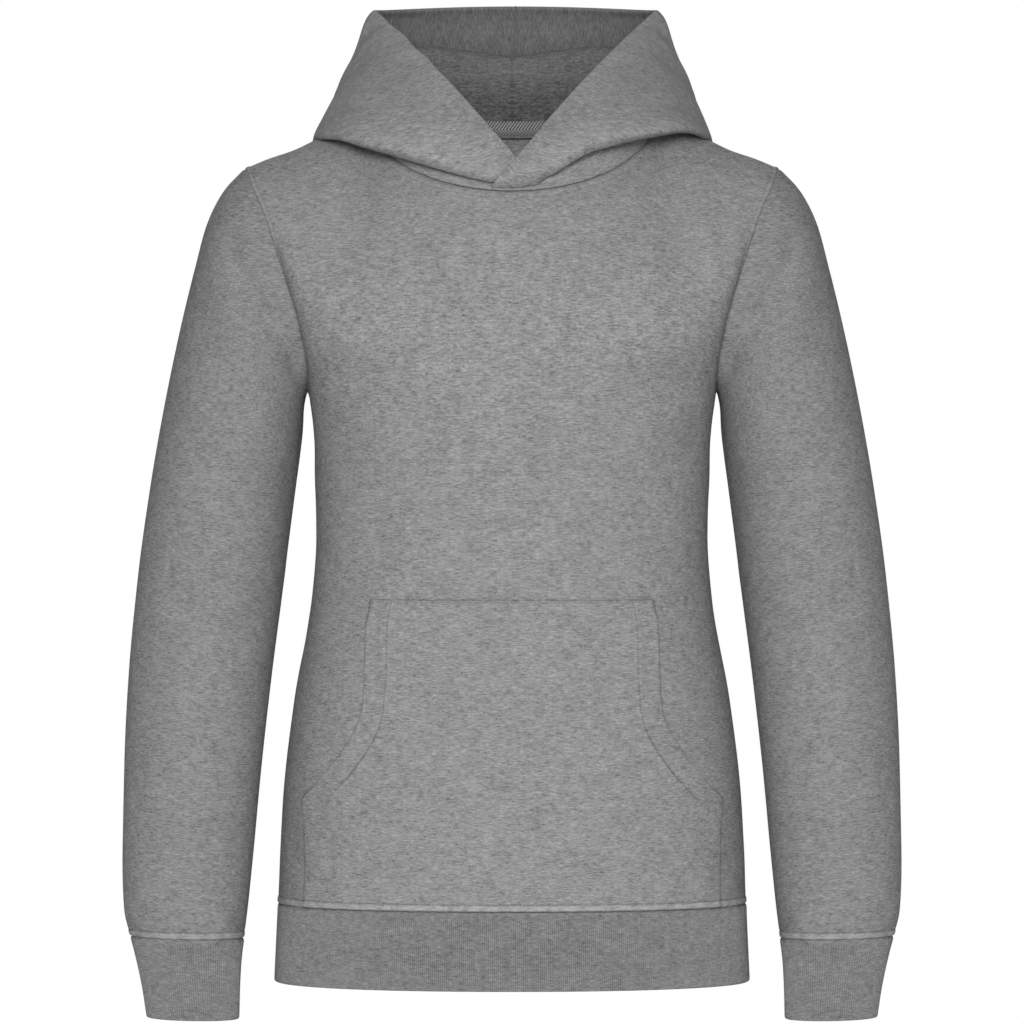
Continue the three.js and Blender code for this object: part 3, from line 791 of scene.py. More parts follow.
@dataclass
class Cloth:
    """One piece of cloth, as a grid with a face that shows and a plainer face behind it.

    Args:
        name: name of the piece.
        base: rows by columns of points. A ring repeats its first column as its last.
        normals: directions towards the face that shows.
        raised: how far the face that shows stands off the base.
        under: how far the face behind stands off it.
        ring: whether the columns close round.
        grain: flat place of each point on the cut piece, in millimetres, rows by columns by 2.
        light: painted light and shade: how much lighter or darker the cloth is coloured at each
            point, standing in for light and shadow at seams, edges, rows of stitches and deep in
            the hood.
    """

    name: str
    base: Array
    normals: Array
    raised: Array
    under: Array
    ring: bool = False
    grain: Array | None = None
    light: Array | None = None

    def shown(self) -> Array:
        """Points of the face that shows."""
        return self.base + self.normals * self.raised[..., None]

    def flat(self) -> Array:
        """Flat place of each point: the run along the rows from the middle, and up the columns.

        Returns:
            Rows by columns by 2, in millimetres.
        """
        if self.grain is not None:
            return self.grain
        return np.stack([from_middle(lengths(self.base, 1)), lengths(self.base, 0)], axis=-1)

    def build(self, material: bpy.types.Material) -> bpy.types.Object:
        """Makes the closed shell.

        The face behind has every other row and column. Along the borders each of its steps is
        joined to two steps of the face that shows by three triangles.

        Args:
            material: finish of the whole piece.

        Returns:
            The new object, which sits at the origin.
        """
        rows, columns = self.base.shape[:2]
        front = np.arange(rows * columns).reshape(rows, columns)
        behind = front.size + np.arange(front[::2, ::2].size).reshape(front[::2, ::2].shape)
        hidden = (self.base + self.normals * self.under[..., None])[::2, ::2]
        points = np.concatenate([self.shown().reshape(-1, 3), hidden.reshape(-1, 3)])
        flat = self.flat()
        uv = np.concatenate([flat.reshape(-1, 2), flat[::2, ::2].reshape(-1, 2)])

        def quads(ids: Array) -> Array:
            """Four corner numbers for each cell of a grid."""
            corners = [ids[:-1, :-1], ids[:-1, 1:], ids[1:, 1:], ids[1:, :-1]]
            return np.stack(corners, axis=-1).reshape(-1, 4)

        def borders(ids: Array) -> list[Array]:
            """Lines of corner numbers round the grid, or along both edges of a ring."""
            sides = [ids[0, :-1], ids[:-1, -1], ids[-1, :0:-1], ids[::-1, 0]]
            return [ids[0], ids[-1, ::-1]] if self.ring else [np.concatenate(sides)]

        rims = []
        for line, back in zip(borders(front), borders(behind)):
            near, middle, far = line[:-2:2], line[1:-1:2], line[2::2]
            rims += [
                np.stack([middle, near, back[:-1]], -1),
                np.stack([middle, back[:-1], back[1:]], -1),
                np.stack([far, middle, back[1:]], -1),
            ]
        faces = [quads(front), quads(behind)[:, ::-1], np.concatenate(rims)]
        owner = np.arange(len(points))
        if self.ring:
            owner[front[:, -1]] = front[:, 0]
            owner[behind[:, -1]] = behind[:, 0]
        light = np.zeros_like(self.raised) if self.light is None else self.light
        light = np.concatenate([light.ravel(), light[::2, ::2].ravel()])
        return make_mesh(self.name, points, faces, uv, owner, material, light)

    def contour(self, field_values: Array, level: float, edge: str) -> tuple[Array, Array]:
        """Line on the face that shows where a field of distances first reaches a level.

        Args:
            field_values: distance of each point from a seam.
            level: distance of the line.
            edge: where the seam lies: top, bottom, first or last.

        Returns:
            Points and directions along the line.
        """
        turned = {
            "top": lambda a: a[::-1],
            "bottom": lambda a: a,
            "first": lambda a: np.swapaxes(a, 0, 1),
            "last": lambda a: np.swapaxes(a, 0, 1)[::-1],
        }[edge]
        values, points, normals = (
            turned(a) for a in (field_values, self.shown(), self.normals)
        )
        after = np.argmax(values >= level, axis=0)
        lines = np.nonzero(after > 0)[0]
        after = after[lines]
        low, high = values[after - 1, lines], values[after, lines]
        share = ((level - low) / (high - low))[:, None]
        line = blend(points[after - 1, lines], points[after, lines], share)
        return line, unit(blend(normals[after - 1, lines], normals[after, lines], share))


def make_mesh(
    name: str,
    points: Array,
    faces: list[Array],
    uv: Array,
    owner: Array,
    material: bpy.types.Material,
    light: Array | None = None,
    sharp_angle: float = 50.0,
) -> bpy.types.Object:
    """Puts arrays into a mesh object at the origin, with its faces turned outwards.

    Args:
        name: name of the object.
        points: places in millimetres.
        faces: arrays of corner numbers, one array for each number of corners.
        uv: flat place of each point, in millimetres, kept in metres.
        owner: the point that stands for each point where a ring closes.
        material: finish of the whole piece.
        light: painted light and shade: how much lighter or darker the piece is coloured at each
            point.
        sharp_angle: edges bent by more than this, in degrees, stay sharp.

    Returns:
        The new object.
    """
    used, compact = np.unique(owner, return_inverse=True)
    fans = [
        np.stack([f[:, 0], f[:, i], f[:, i + 1]], -1)
        for f in faces
        for i in range(1, f.shape[1] - 1)
    ]
    a, b, c = (points[owner[np.concatenate(fans)[:, i]]] for i in range(3))
    if np.einsum("ij,ij->i", a, np.cross(b, c)).sum() < 0:
        faces = [f[:, ::-1] for f in faces]
    corners = np.concatenate([f.ravel() for f in faces])
    sizes = np.concatenate([np.full(len(f), f.shape[1]) for f in faces])
    mesh = bpy.data.meshes.new(name)
    mesh.vertices.add(len(used))
    mesh.vertices.foreach_set("co", (points[used] * METRES).ravel())
    mesh.loops.add(len(corners))
    mesh.loops.foreach_set("vertex_index", compact[owner[corners]].astype(np.int32))
    mesh.polygons.add(len(sizes))
    starts = np.concatenate([[0], np.cumsum(sizes)[:-1]]).astype(np.int32)
    mesh.polygons.foreach_set("loop_start", starts)
    mesh.polygons.foreach_set("use_smooth", np.ones(len(sizes), bool))
    layer = mesh.uv_layers.new(name="cut")
    layer.uv.foreach_set("vector", (uv[corners] * METRES).ravel())
    # keeps the painted light and shade on the points, for the finish to read
    if light is not None:
        kept = mesh.attributes.new("light", "FLOAT", "POINT")
        kept.data.foreach_set("value", light[used].astype(np.float32))
    mesh.update(calc_edges=True)
    mesh.validate()
    mesh.set_sharp_from_angle(angle=math.radians(sharp_angle))
    mesh.materials.append(material)
    made = bpy.data.objects.new(name, mesh)
    bpy.context.scene.collection.objects.link(made)
    log.info("%s: %d triangles", name, (sizes - 2).sum())
    return made


@dataclass(frozen=True)
class Stitching:
    """Rows of stitches: each is a small lozenge that lies along its row, half sunk in the cloth."""

    pitch: float = 2.5
    length: float = 2.0
    width: float = 0.5
    height: float = 0.42
    lift: float = 0.04

    def template(self) -> tuple[Array, list[Array]]:
        """A stitch with two pointed ends and three rings of four corners.

        Returns:
            Points as shares of its length, width and height, and arrays of faces.
        """
        rings = [
            (along, across * full, up * full)
            for along, full in ((-0.34, 0.8), (0.0, 1.0), (0.34, 0.8))
            for across, up in ((0.5, 0), (0, 0.5), (-0.5, 0), (0, -0.5))
        ]
        points = np.array([*rings, (-0.5, 0, -0.3), (0.5, 0, -0.3)])
        corner = np.arange(4)
        after = (corner + 1) % 4
        quads = [
            np.stack([first + corner, first + after, first + 4 + after, first + 4 + corner], -1)
            for first in (0, 4)
        ]
        tips = [
            np.stack([np.full(4, 12), after, corner], -1),
            np.stack([np.full(4, 13), 8 + corner, 8 + after], -1),
        ]
        return points, [np.concatenate(quads), np.concatenate(tips)]

    def lay(
        self, name: str, lines: list[tuple[Array, Array]], material: bpy.types.Material
    ) -> bpy.types.Object:
        """Lays stitches at even steps along each line and joins them in one mesh.

        Args:
            name: name of the object.
            lines: points and directions of each line.
            material: finish of the thread.

        Returns:
            The new object.
        """
        template, faces = self.template()
        shape = template * (self.length, self.width, self.height)
        sets = []
        for points, normals in lines:
            run = lengths(points)
            at = np.arange(self.pitch / 2, run[-1], self.pitch)
            ahead, behind = (np.clip(at + half, 0, run[-1]) for half in (0.5, -0.5))

            def along(values: Array, places: Array) -> Array:
                """Values of the line at places along its run."""
                return np.stack([np.interp(places, run, values[:, k]) for k in range(3)], -1)

            up = unit(along(normals, at))
            way = unit(along(points, ahead) - along(points, behind))
            axes = np.stack([way, np.cross(up, way), up], axis=1)
            centre = along(points, at) + up * self.lift
            sets.append(centre[:, None] + np.einsum("pk,nkj->npj", shape, axes))
        points = np.concatenate(sets)
        first = (np.arange(len(points)) * len(shape))[:, None, None]
        solid = [(first + f[None]).reshape(-1, f.shape[1]) for f in faces]
        flat = points.reshape(-1, 3)
        owner = np.arange(len(flat))
        return make_mesh(name, flat, solid, flat[:, [0, 2]], owner, material)


# Finishes


class Value:
    """A number socket that takes part in Python sums by adding Math nodes."""

    def __init__(self, graph: "Graph", socket: bpy.types.NodeSocket) -> None:
        """Keeps the graph and the socket."""
        self.graph = graph
        self.socket = socket

    def _sum(self, operation: str, *values: "Value | float") -> "Value":
        """Adds one Math node."""
        inputs = dict(enumerate(values))
        node = self.graph.node("ShaderNodeMath", {"operation": operation}, inputs)
        return Value(self.graph, node.outputs[0])

    def __add__(self, other: "Value | float") -> "Value":
        """Sum."""
        return self._sum("ADD", self, other)

    def __sub__(self, other: "Value | float") -> "Value":
        """Difference."""
        return self._sum("SUBTRACT", self, other)

    def __rsub__(self, other: float) -> "Value":
        """Difference from a number."""
        return self._sum("SUBTRACT", other, self)

    def __mul__(self, other: "Value | float") -> "Value":
        """Product."""
        return self._sum("MULTIPLY", self, other)

    __radd__ = __add__
    __rmul__ = __mul__

    def sine(self) -> "Value":
        """Sine, in radians."""
        return self._sum("SINE", self)

    def wave(self) -> "Value":
        """Triangle wave between 0 and 1 with a period of 2."""
        return self._sum("PINGPONG", self, 1.0)

    def size(self) -> "Value":
        """Value without its sign."""
        return self._sum("ABSOLUTE", self)

    def eased(self, low: float, high: float) -> "Value":
        """Eases a value at both ends.

        Args:
            low: value that gives 0.
            high: value that gives 1.

        Returns:
            Share of the way from low to high.
        """
        node = self.graph.node(
            "ShaderNodeMapRange",
            {"interpolation_type": "SMOOTHSTEP"},
            {"Value": self, "From Min": low, "From Max": high},
        )
        return Value(self.graph, node.outputs[0])


class Graph:
    """A material that is being written, on the piece's own flat coordinates in millimetres."""

    def __init__(self, name: str) -> None:
        """Starts an empty material and reads the flat coordinates.

        Args:
            name: name of the material.
        """
        self.material = bpy.data.materials.new(name)
        self.material.use_nodes = True
        self.tree = self.material.node_tree
        self.tree.nodes.clear()
        flat = self.node("ShaderNodeUVMap", {"uv_map": "cut"}, {})
        parts = self.node("ShaderNodeSeparateXYZ", {}, {"Vector": flat.outputs[0]})
        self.u = Value(self, parts.outputs[0]) * (1 / METRES)
        self.v = Value(self, parts.outputs[1]) * (1 / METRES)

    def node(self, kind: str, settings: dict, inputs: dict) -> bpy.types.Node:
        """Adds a node.

        Args:
            kind: type of the node.
            settings: its own settings, set first.
            inputs: numbers, colours, values or sockets by the name or number of each input.

        Returns:
            The new node.
        """
        node = self.tree.nodes.new(kind)
        for key, value in settings.items():
            setattr(node, key, value)
        for key, value in inputs.items():
            socket = node.inputs[key]
            source = value.socket if isinstance(value, Value) else value
            if isinstance(source, bpy.types.NodeSocket):
                self.tree.links.new(source, socket)
            else:
                socket.default_value = source
        return node

    def noise(self, per_u: float, per_v: float, seed: float, detail: float = 2.0) -> Value:
        """Noise round 0 whose grains are 1 / per_u wide and 1 / per_v high, in millimetres.

        Args:
            per_u: grains to a millimetre across.
            per_v: grains to a millimetre up.
            seed: shift of the pattern.
            detail: number of finer layers.

        Returns:
            The noise, from about -0.5 to 0.5.
        """
        place = self.node(
            "ShaderNodeCombineXYZ", {}, {0: self.u * per_u + seed, 1: self.v * per_v + seed * 0.37}
        )
        node = self.node(
            "ShaderNodeTexNoise",
            {"noise_dimensions": "2D"},
            {"Vector": place.outputs[0], "Scale": 1.0, "Detail": detail, "Roughness": 0.62},
        )
        return Value(self, node.outputs[0]) - 0.5

    def own(self, name: str) -> Value:
        """Number kept on the points of the piece."""
        node = self.node("ShaderNodeAttribute", {"attribute_name": name}, {})
        return Value(self, node.outputs["Fac"])

    def between(self, dark: tuple, light: tuple, share: Value) -> bpy.types.NodeSocket:
        """Colour between two.

        Args:
            dark: colour at 0.
            light: colour at 1.
            share: share of the way from dark to light.

        Returns:
            Socket of the colour.
        """
        node = self.node(
            "ShaderNodeMix",
            {"data_type": "RGBA", "clamp_factor": True},
            {0: share, 6: (*dark, 1.0), 7: (*light, 1.0)},
        )
        return node.outputs[2]

    def finish(
        self,
        colour: bpy.types.NodeSocket,
        roughness: Value | float,
        relief: Value,
        relief_height: float,
    ) -> bpy.types.Material:
        """Joins colour, roughness and relief into the shader.

        Args:
            colour: base colour.
            roughness: roughness.
            relief: height of the fine relief, from 0 to 1.
            relief_height: height of a relief of 1, in millimetres.

        Returns:
            The finished material.
        """
        bump = self.node(
            "ShaderNodeBump", {}, {"Height": relief, "Distance": relief_height * METRES}
        )
        shader = self.node(
            "ShaderNodeBsdfPrincipled",
            {},
            {
                "Base Color": colour,
                "Roughness": roughness,
                "Normal": bump.outputs[0],
                "Specular IOR Level": 0.18,
            },
        )
        output = self.node("ShaderNodeOutputMaterial", {}, {})
        self.tree.links.new(shader.outputs[0], output.inputs["Surface"])
        return self.material


def grey(level: float) -> tuple[float, float, float]:
    """Neutral grey of a linear level."""
    return (level, level, level)


@dataclass(frozen=True)
class Marl:
    """Marl knit: dark and light fibres in short streaks along the courses, over a finer speckle."""

    name: str
    level: float = 0.262
    contrast: float = 1.35
    streak: float = 0.7
    speckle: float = 0.36
    patch: float = 0.32
    cloud: float = 0.12
    seed: float = 0.0
    wale: float = 1.05
    course: float = 0.82
    relief: float = 0.16

    def material(self) -> bpy.types.Material:
        """Colour goes from dark to light by the sum of four noises, and light and dark flecks
        stand out where a fifth and a sixth are high. The relief is rows of small V-shaped
        stitches: a sine down the courses, slanted by the distance from the middle of the wale.

        Returns:
            The finished material.
        """
        g = Graph(self.name)
        s = self.seed
        tone = (
            g.noise(0.22, 1.15, 3 + s, 3.0) * self.streak
            + g.noise(0.55, 1.5, 17 + s) * self.speckle
            + g.noise(0.1, 0.27, 83 + s) * self.patch
            + g.noise(0.035, 0.06, 29 + s, 1.0) * self.cloud
        )
        light = g.noise(0.28, 1.35, 41 + s).eased(0.08, 0.2)
        dark = g.noise(0.34, 1.4, 53 + s).eased(0.09, 0.22)
        # the light attribute adds painted light and shade: painted highlights over seam allowances
        # and edges, painted shade in rows of stitches, in gaps and deep in the hood
        share = tone * self.contrast + light * 0.2 - dark * 0.22 + g.own("light") + 0.5
        colour = g.between(grey(self.level * 0.32), grey(self.level * 1.72), share)
        slant = (g.u * (2 / self.wale)).wave()
        loops = ((g.v * (1 / self.course) + slant * 0.5) * (2 * math.pi)).sine() * 0.5 + 0.5
        relief = loops * 0.5 + slant * 0.25 + g.noise(1.2, 2.0, 67 + s) * 0.9
        return g.finish(colour, 0.93, relief, self.relief)


@dataclass(frozen=True)
class Herringbone:
    """Woven tape: narrow slanting ribs that turn back along the middle of its width."""

    name: str
    level: float = 0.2
    width: float = 11.0
    pitch: float = 2.1

    def material(self) -> bpy.types.Material:
        """Ribs are a triangle wave along the tape, slanted by the distance from its middle.

        Returns:
            The finished material.
        """
        g = Graph(self.name)
        aside = (g.v - self.width / 2).size()
        ribs = ((g.u + aside * 0.8) * (2 / self.pitch)).wave().eased(0.2, 0.8)
        share = ribs * 0.85 + g.noise(0.8, 0.8, 5.0) * 0.5 + 0.06
        colour = g.between(grey(self.level * 0.22), grey(self.level * 1.75), share)
        return g.finish(colour, 0.88, ribs, 0.15)


@dataclass(frozen=True)
class Thread:
    """Sewing thread in the grey of the cloth."""

    name: str
    level: float = 0.2

    def material(self) -> bpy.types.Material:
        """Plain grey with the slant of two plies as fine relief.

        Returns:
            The finished material.
        """
        g = Graph(self.name)
        plies = ((g.u + g.v) * 9.0).sine() * 0.5 + 0.5
        colour = g.between(grey(self.level * 0.85), grey(self.level * 1.15), plies)
        return g.finish(colour, 0.75, plies, 0.05)


@dataclass
class Finishes:
    """All finishes of the garment."""

    jersey: bpy.types.Material = field(default_factory=Marl("jersey_marl").material)
    sleeve: bpy.types.Material = field(
        default_factory=Marl("sleeve_marl", level=0.236, seed=211.0).material
    )
    hood: bpy.types.Material = field(
        default_factory=Marl("hood_marl", level=0.268, contrast=1.3, seed=97.0).material
    )
    # painted shade: the lining is the same marl as the hood, coloured darker to stand in for the
    # shadow inside the hood
    lining: bpy.types.Material = field(
        default_factory=Marl("lining_marl_painted_shade", level=0.138, seed=59.0, streak=0.8).material
    )
    rib: bpy.types.Material = field(
        default_factory=Marl("rib_marl", level=0.22, contrast=1.2, seed=131.0, course=0.9).material
    )
    tape: bpy.types.Material = field(default_factory=Herringbone("tape_weave").material)
    thread: bpy.types.Material = field(default_factory=Thread("thread_grey").material)


# Seams


@dataclass(frozen=True)
class Seams:
    """How cloth behaves beside a seam, with rows of topstitching at given distances from it."""

    rows: tuple[float, ...]
    allowance: float
    swell: float
    roll: float = 1.0
    roll_breadth: float = 0.62
    groove: float = 0.3
    groove_breadth: float = 0.7
    # strength of the painted highlight over the allowance and of the painted shade in its rows of
    # stitches
    lighter: float = 0.0

    def tuck(self, distance: Array) -> Array:
        """Height beside a seam: minus the roll times a bell of the distance, where the edge turns
        in to the seam."""
        return -self.roll * bell(distance, self.roll_breadth)

    def topstitched(self, distance: Array, pucker: float | Array = 0.0) -> Array:
        """Height over a topstitched allowance: swollen between seam and last row, uneven by the
        pucker, with a groove under each row of stitches.

        Args:
            distance: distance from the seam.
            pucker: unevenness, as a share of the swell.

        Returns:
            Height at each point.
        """
        swollen = smoothstep(0.2, 1.3, distance) * (
            1 - smoothstep(self.allowance - 0.6, self.allowance + 1.2, distance)
        )
        rows = sum(bell(distance - at, self.groove_breadth) for at in self.rows)
        return swollen * self.swell * (1 + pucker) - rows * self.groove

    def shade(self, distance: Array, pucker: float | Array = 0.0) -> Array:
        """Painted light and shade over a topstitched allowance: a painted highlight between the
        seam and the last row, where the swollen allowance catches the light, uneven by the pucker,
        and painted shade in a row of stitches.

        Args:
            distance: distance from the seam.
            pucker: unevenness, as a share of the lightness.

        Returns:
            Lightness at each point.
        """
        over = smoothstep(0.5, 1.1, distance) * (
            1 - smoothstep(self.allowance - 0.5, self.allowance, distance)
        )
        rows = sum(bell(distance - at, 0.5) for at in self.rows)
        return self.lighter * (over * (1 + pucker) - 0.9 * rows)


NECK_SEAM = Seams(rows=(1.6, 6.0), allowance=6.2, swell=0.4, roll=0.65, lighter=0.03)
ARMHOLE_SEAM = Seams(rows=(3.6,), allowance=3.4, swell=0.5, roll=0.65, lighter=0.1)
RIB_SEAM = Seams(rows=(4.7,), allowance=4.5, swell=0.4, roll=1.1, groove=0.45, lighter=0.2)
RIB_EDGE = Seams(rows=(), allowance=0.0, swell=0.0, roll=0.85)
POCKET_SEAM = Seams(
    rows=(1.8,),
    allowance=2.4,
    swell=0.15,
    roll=1.2,
    roll_breadth=0.5,
    groove=0.4,
    groove_breadth=0.6,
    lighter=0.05,
)


def puckers(run: Array, step: float, seed: float) -> Array:
    """Uneven waves along a seam: a sine whose phase wanders by two slower sines."""
    wander = 1.4 * np.sin(run * 0.11 + seed) + 1.1 * np.sin(run * 0.043 + seed * 2)
    return np.sin(run * 2 * np.pi / step + wander)


def dress(
    piece: bpy.types.Object,
    node: str,
    with_pieces: tuple[bpy.types.Object, ...] = (),
) -> None:
    """Attaches a cloth piece and what is sewn on it to the body and hides the solid it stands for.

    Args:
        piece: the cloth.
        node: the solid that it stands for.
        with_pieces: the stitching on it.
    """
    for each in (piece, *with_pieces):
        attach(each, BODY)
    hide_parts(node)


@dataclass
class BodyPanels:
    """Front and back of the body, sewn together at the sides and shoulders.

    Each of the hollows beside the side seams and armholes has a depth, a breadth across, a height
    over the underarm and a breadth up.
    """

    shape: BodyShape = BodyShape()
    wall: float = 1.5
    step: float = 2.5
    fine: float = 0.6
    margin: float = 9.5
    droop: float = 0.25
    # painted highlight along the armhole: a faint share all round and more lower down
    armhole_light: tuple[float, float] = (0.15, 1.9)
    hollows: tuple[tuple[float, float, float, float], ...] = (
        (2.2, 16.0, -22.0, 20.0),
        (1.4, 30.0, -105.0, 70.0),
    )
    front_creases: tuple[Crease, ...] = (
        Crease(122, -158, 66, -190, 11, 1.5, 5),
        Crease(124, -196, 78, -236, 12, 1.1, -4),
        Crease(96, -60, 132, -118, 9, 1.0, 5),
        Crease(40, -64, 92, -96, 8, 0.6, 6),
        Crease(126, -286, 72, -268, 13, 1.1, -4),
        Crease(132, -352, 104, -322, 10, 0.8, 3),
    )
    front_uneven: tuple[Crease, ...] = (
        Crease(-60, -98, 34, -118, 13, 0.7, 8),
        Crease(20, -152, 82, -166, 15, 0.6, -7),
        Crease(-88, -242, -22, -256, 15, 0.7, 5),
        Crease(-14, -274, 58, -262, 14, 0.6, -4),
        Crease(-139, -450, -126, -492, 6, 0.9, 2),
        Crease(-98, -474, -92, -500, 6, 0.7, 1),
        Crease(-57, -480, -60, -500, 5, 0.5, 0),
        Crease(-12, -468, -8, -500, 7, 0.7, -2),
        Crease(34, -478, 31, -500, 5, 0.6, 1),
        Crease(78, -466, 84, -500, 7, 0.8, -2),
        Crease(112, -478, 110, -500, 5, 0.6, 1),
        Crease(140, -446, 129, -494, 6, 0.9, -2),
    )
    back_creases: tuple[Crease, ...] = (
        Crease(122, -150, 60, -186, 12, 2.2, 7),
        Crease(124, -188, 72, -230, 12, 1.7, -5),
        Crease(136, -84, 92, -140, 10, 1.6, -6),
    )
    back_uneven: tuple[Crease, ...] = (
        Crease(-104, -236, 46, -252, 13, 2.0, 9),
        Crease(-38, -276, 112, -266, 14, 2.3, -8),
        Crease(-116, -300, 8, -312, 13, 2.0, 7),
        Crease(10, -336, 118, -326, 12, 1.6, -6),
        Crease(-96, -352, -20, -362, 11, 1.1, 5),
        Crease(-62, -128, 4, -172, 14, 1.2, 6),
        Crease(66, -132, 14, -178, 14, 1.0, -7),
        Crease(-120, -452, -112, -498, 6, 1.0, 3),
        Crease(-84, -474, -80, -500, 6, 0.8, -1),
        Crease(-44, -466, -50, -500, 7, 0.9, 2),
        Crease(-6, -478, -4, -500, 5, 0.6, 0),
        Crease(30, -468, 36, -500, 7, 0.9, -2),
        Crease(70, -480, 68, -500, 5, 0.7, 1),
        Crease(104, -460, 110, -500, 7, 1.0, -2),
    )

    def creased(self, facing: Facing, x: Array, z: Array) -> Array:
        """How far the creases of a panel press it in, and the faint waves all over it.

        Args:
            facing: which panel.
            x: places across it.
            z: heights.

        Returns:
            Depth at each point.
        """
        front = facing is Facing.FRONT
        paired = self.front_creases if front else self.back_creases
        single = self.front_uneven if front else self.back_uneven
        wave = np.sin(x / 31 + 0.7 * np.sin(z / 57)) * np.sin(z / 43 + 0.9 * np.sin(x / 49 + 1))
        return pressed(paired, x, z, both_sides=True) + pressed(single, x, z) + 0.35 * wave

    def columns(self) -> Array:
        """Places across a panel, finer at the side seams and armholes.

        Returns:
            Places from -1 to 1.
        """
        across = np.linspace(0, 1, 400)
        run = lengths(self.shape.point(-1.0, across[None], np.full((1, 1), 0.5)), 1)[0]
        places = graded(run[-1], self.step, self.fine, (0, self.margin))
        half = np.interp(places, run / run[-1], across)
        half[np.argmin(np.abs(half - self.shape.shoulder_column))] = self.shape.shoulder_column
        return np.concatenate([-half[:0:-1], half])

    def rises(self) -> Array:
        """Places up a panel, finer at the rib seam and at the neck and shoulder seams.

        Returns:
            Places from 0 to 2.
        """
        tall = self.shape.underarm - self.shape.rib_seam
        skirt = graded(tall, self.step, self.fine, (self.margin, 0))
        yoke = graded(150, self.step, self.fine, (0, self.margin))
        return np.concatenate([skirt, 1 + yoke[1:]])

    def cloth(self, facing: Facing, sleeve_normals: Callable[[Array], Array]) -> Cloth:
        """One panel with its creases, rolled edges and topstitched allowances.

        Args:
            facing: which panel.
            sleeve_normals: directions of the sleeve's cloth at the armhole by their turn.

        Returns:
            The panel's cloth.
        """
        sign = facing.value
        across, rise = self.columns(), self.rises()
        base = self.shape.point(sign, across[None], rise[:, None])
        soft = smoothstep(0, 14, nearer_end(lengths(base, 1)))
        base = smoothed(base, soft * bell(rise - 1, 0.22)[:, None], 90)
        normals = grid_normals(base, -sign)
        high = rise >= 1
        turn = (180 * (2 - rise[high]) if sign < 0 else 180 * rise[high]) % 360
        other = sleeve_normals(turn)
        for column, way in ((0, -1.0), (-1, 1.0)):
            rim = normals[:, column].copy()
            rim[~high, 1] = 0
            rim[high] += other * (way, 1, 1)
            normals[:, column] = unit(rim)
        shoulder = np.abs(across) >= self.shape.shoulder_column
        normals[-1, shoulder, 1] = 0
        normals[-1] = unit(normals[-1])
        run = lengths(base, 1)
        fields = self.fields(facing, base)
        from_rim, middle = nearer_end(run), from_middle(run)
        up = lengths(base, 0)
        from_top = up[-1:] - up
        calm = smoothstep(0, 12, np.minimum(from_rim, from_top)) * smoothstep(-2, 6, up)
        height = base[..., 2]
        creased = self.creased(facing, base[..., 0], height)
        raised = (
            -creased * calm
            + ARMHOLE_SEAM.tuck(from_rim)
            + NECK_SEAM.tuck(from_top)
            + RIB_SEAM.tuck(up)
            + RIB_SEAM.topstitched(up, 0.3 * puckers(middle, 10.5, sign))
            + NECK_SEAM.topstitched(fields["neck"], 0.3 * puckers(middle, 9.0, 2 * sign))
            + ARMHOLE_SEAM.topstitched(fields["armhole"], 0.3 * puckers(up, 9.5, 3 * sign))
        )
        over_underarm = height - self.shape.underarm
        for deep, broad, above, tall in self.hollows:
            raised = raised - deep * bell(from_rim, broad) * bell(over_underarm - above, tall)
        droop = self.droop * smoothstep(-210, -70, height) * np.abs(base[..., 1])
        flat = np.stack([middle, height - droop], axis=-1)
        faint, lower = self.armhole_light
        # painted light and shade: painted highlights over the topstitched allowances at the rib,
        # neck and armhole, and painted shade in their rows of stitches
        light = (
            RIB_SEAM.shade(up, 0.4 * puckers(middle, 13.0, sign + 1))
            + NECK_SEAM.shade(fields["neck"])
            + ARMHOLE_SEAM.shade(fields["armhole"], 0.4 * puckers(up, 11.0, sign))
            * (faint + lower * smoothstep(-60, -115, height))
        )
        name = facing.name.lower() + "_cloth"
        return Cloth(name, base, normals, raised, raised - self.wall, grain=flat, light=light)

    def fields(self, facing: Facing, points: Array) -> dict[str, Array]:
        """Distance of each point of a panel from the neck seam and from the nearer armhole.

        Args:
            facing: which panel.
            points: grid of points.

        Returns:
            Distances by the name of the seam.
        """
        quarter = np.linspace(0, 90, 200)
        turns = quarter if facing is Facing.FRONT else 180 - quarter
        neck = self.shape.neck_seam(turns)
        half = np.linspace(0, 180, 260)
        armhole = self.shape.armhole_seam(half if facing is Facing.FRONT else 360 - half)
        folded = right_half(points)
        return {"neck": distance_to(folded, neck), "armhole": distance_to(folded, armhole)}

    def armhole_normals(self, turn: Array) -> Array:
        """Directions of the body's cloth at the armhole on the +X side.

        Args:
            turn: degrees from the shoulder, past the front, 90, and the underarm, 180.

        Returns:
            Unit vectors, one for each turn.
        """
        point = self.shape.point
        rise = np.where(turn <= 180, 2 - turn / 180, turn / 180)
        edge = np.ones_like(rise)
        high = np.minimum(rise + PROBE, 2)
        found = []
        for sign in (-1.0, 1.0):
            across = point(sign, edge, rise) - point(sign, edge - PROBE, rise)
            up = point(sign, edge, high) - point(sign, edge, high - 2 * PROBE)
            found.append(unit(np.cross(across, up)) * -sign)
        return np.where((turn <= 180)[..., None], *found)

    def stitch_lines(self, facing: Facing, cloth: Cloth) -> list[tuple[Array, Array]]:
        """Rows round the neck and armholes and above the rib seam of one panel.

        Args:
            facing: which panel.
            cloth: its cloth.

        Returns:
            Points and directions of each row.
        """
        fields = self.fields(facing, cloth.base)
        rib = lengths(cloth.base, 0)
        return [
            *(cloth.contour(fields["neck"], at, "top") for at in NECK_SEAM.rows),
            *(cloth.contour(fields["armhole"], at, "first") for at in ARMHOLE_SEAM.rows),
            *(cloth.contour(fields["armhole"], at, "last") for at in ARMHOLE_SEAM.rows),
            *(cloth.contour(rib, at, "bottom") for at in RIB_SEAM.rows),
        ]

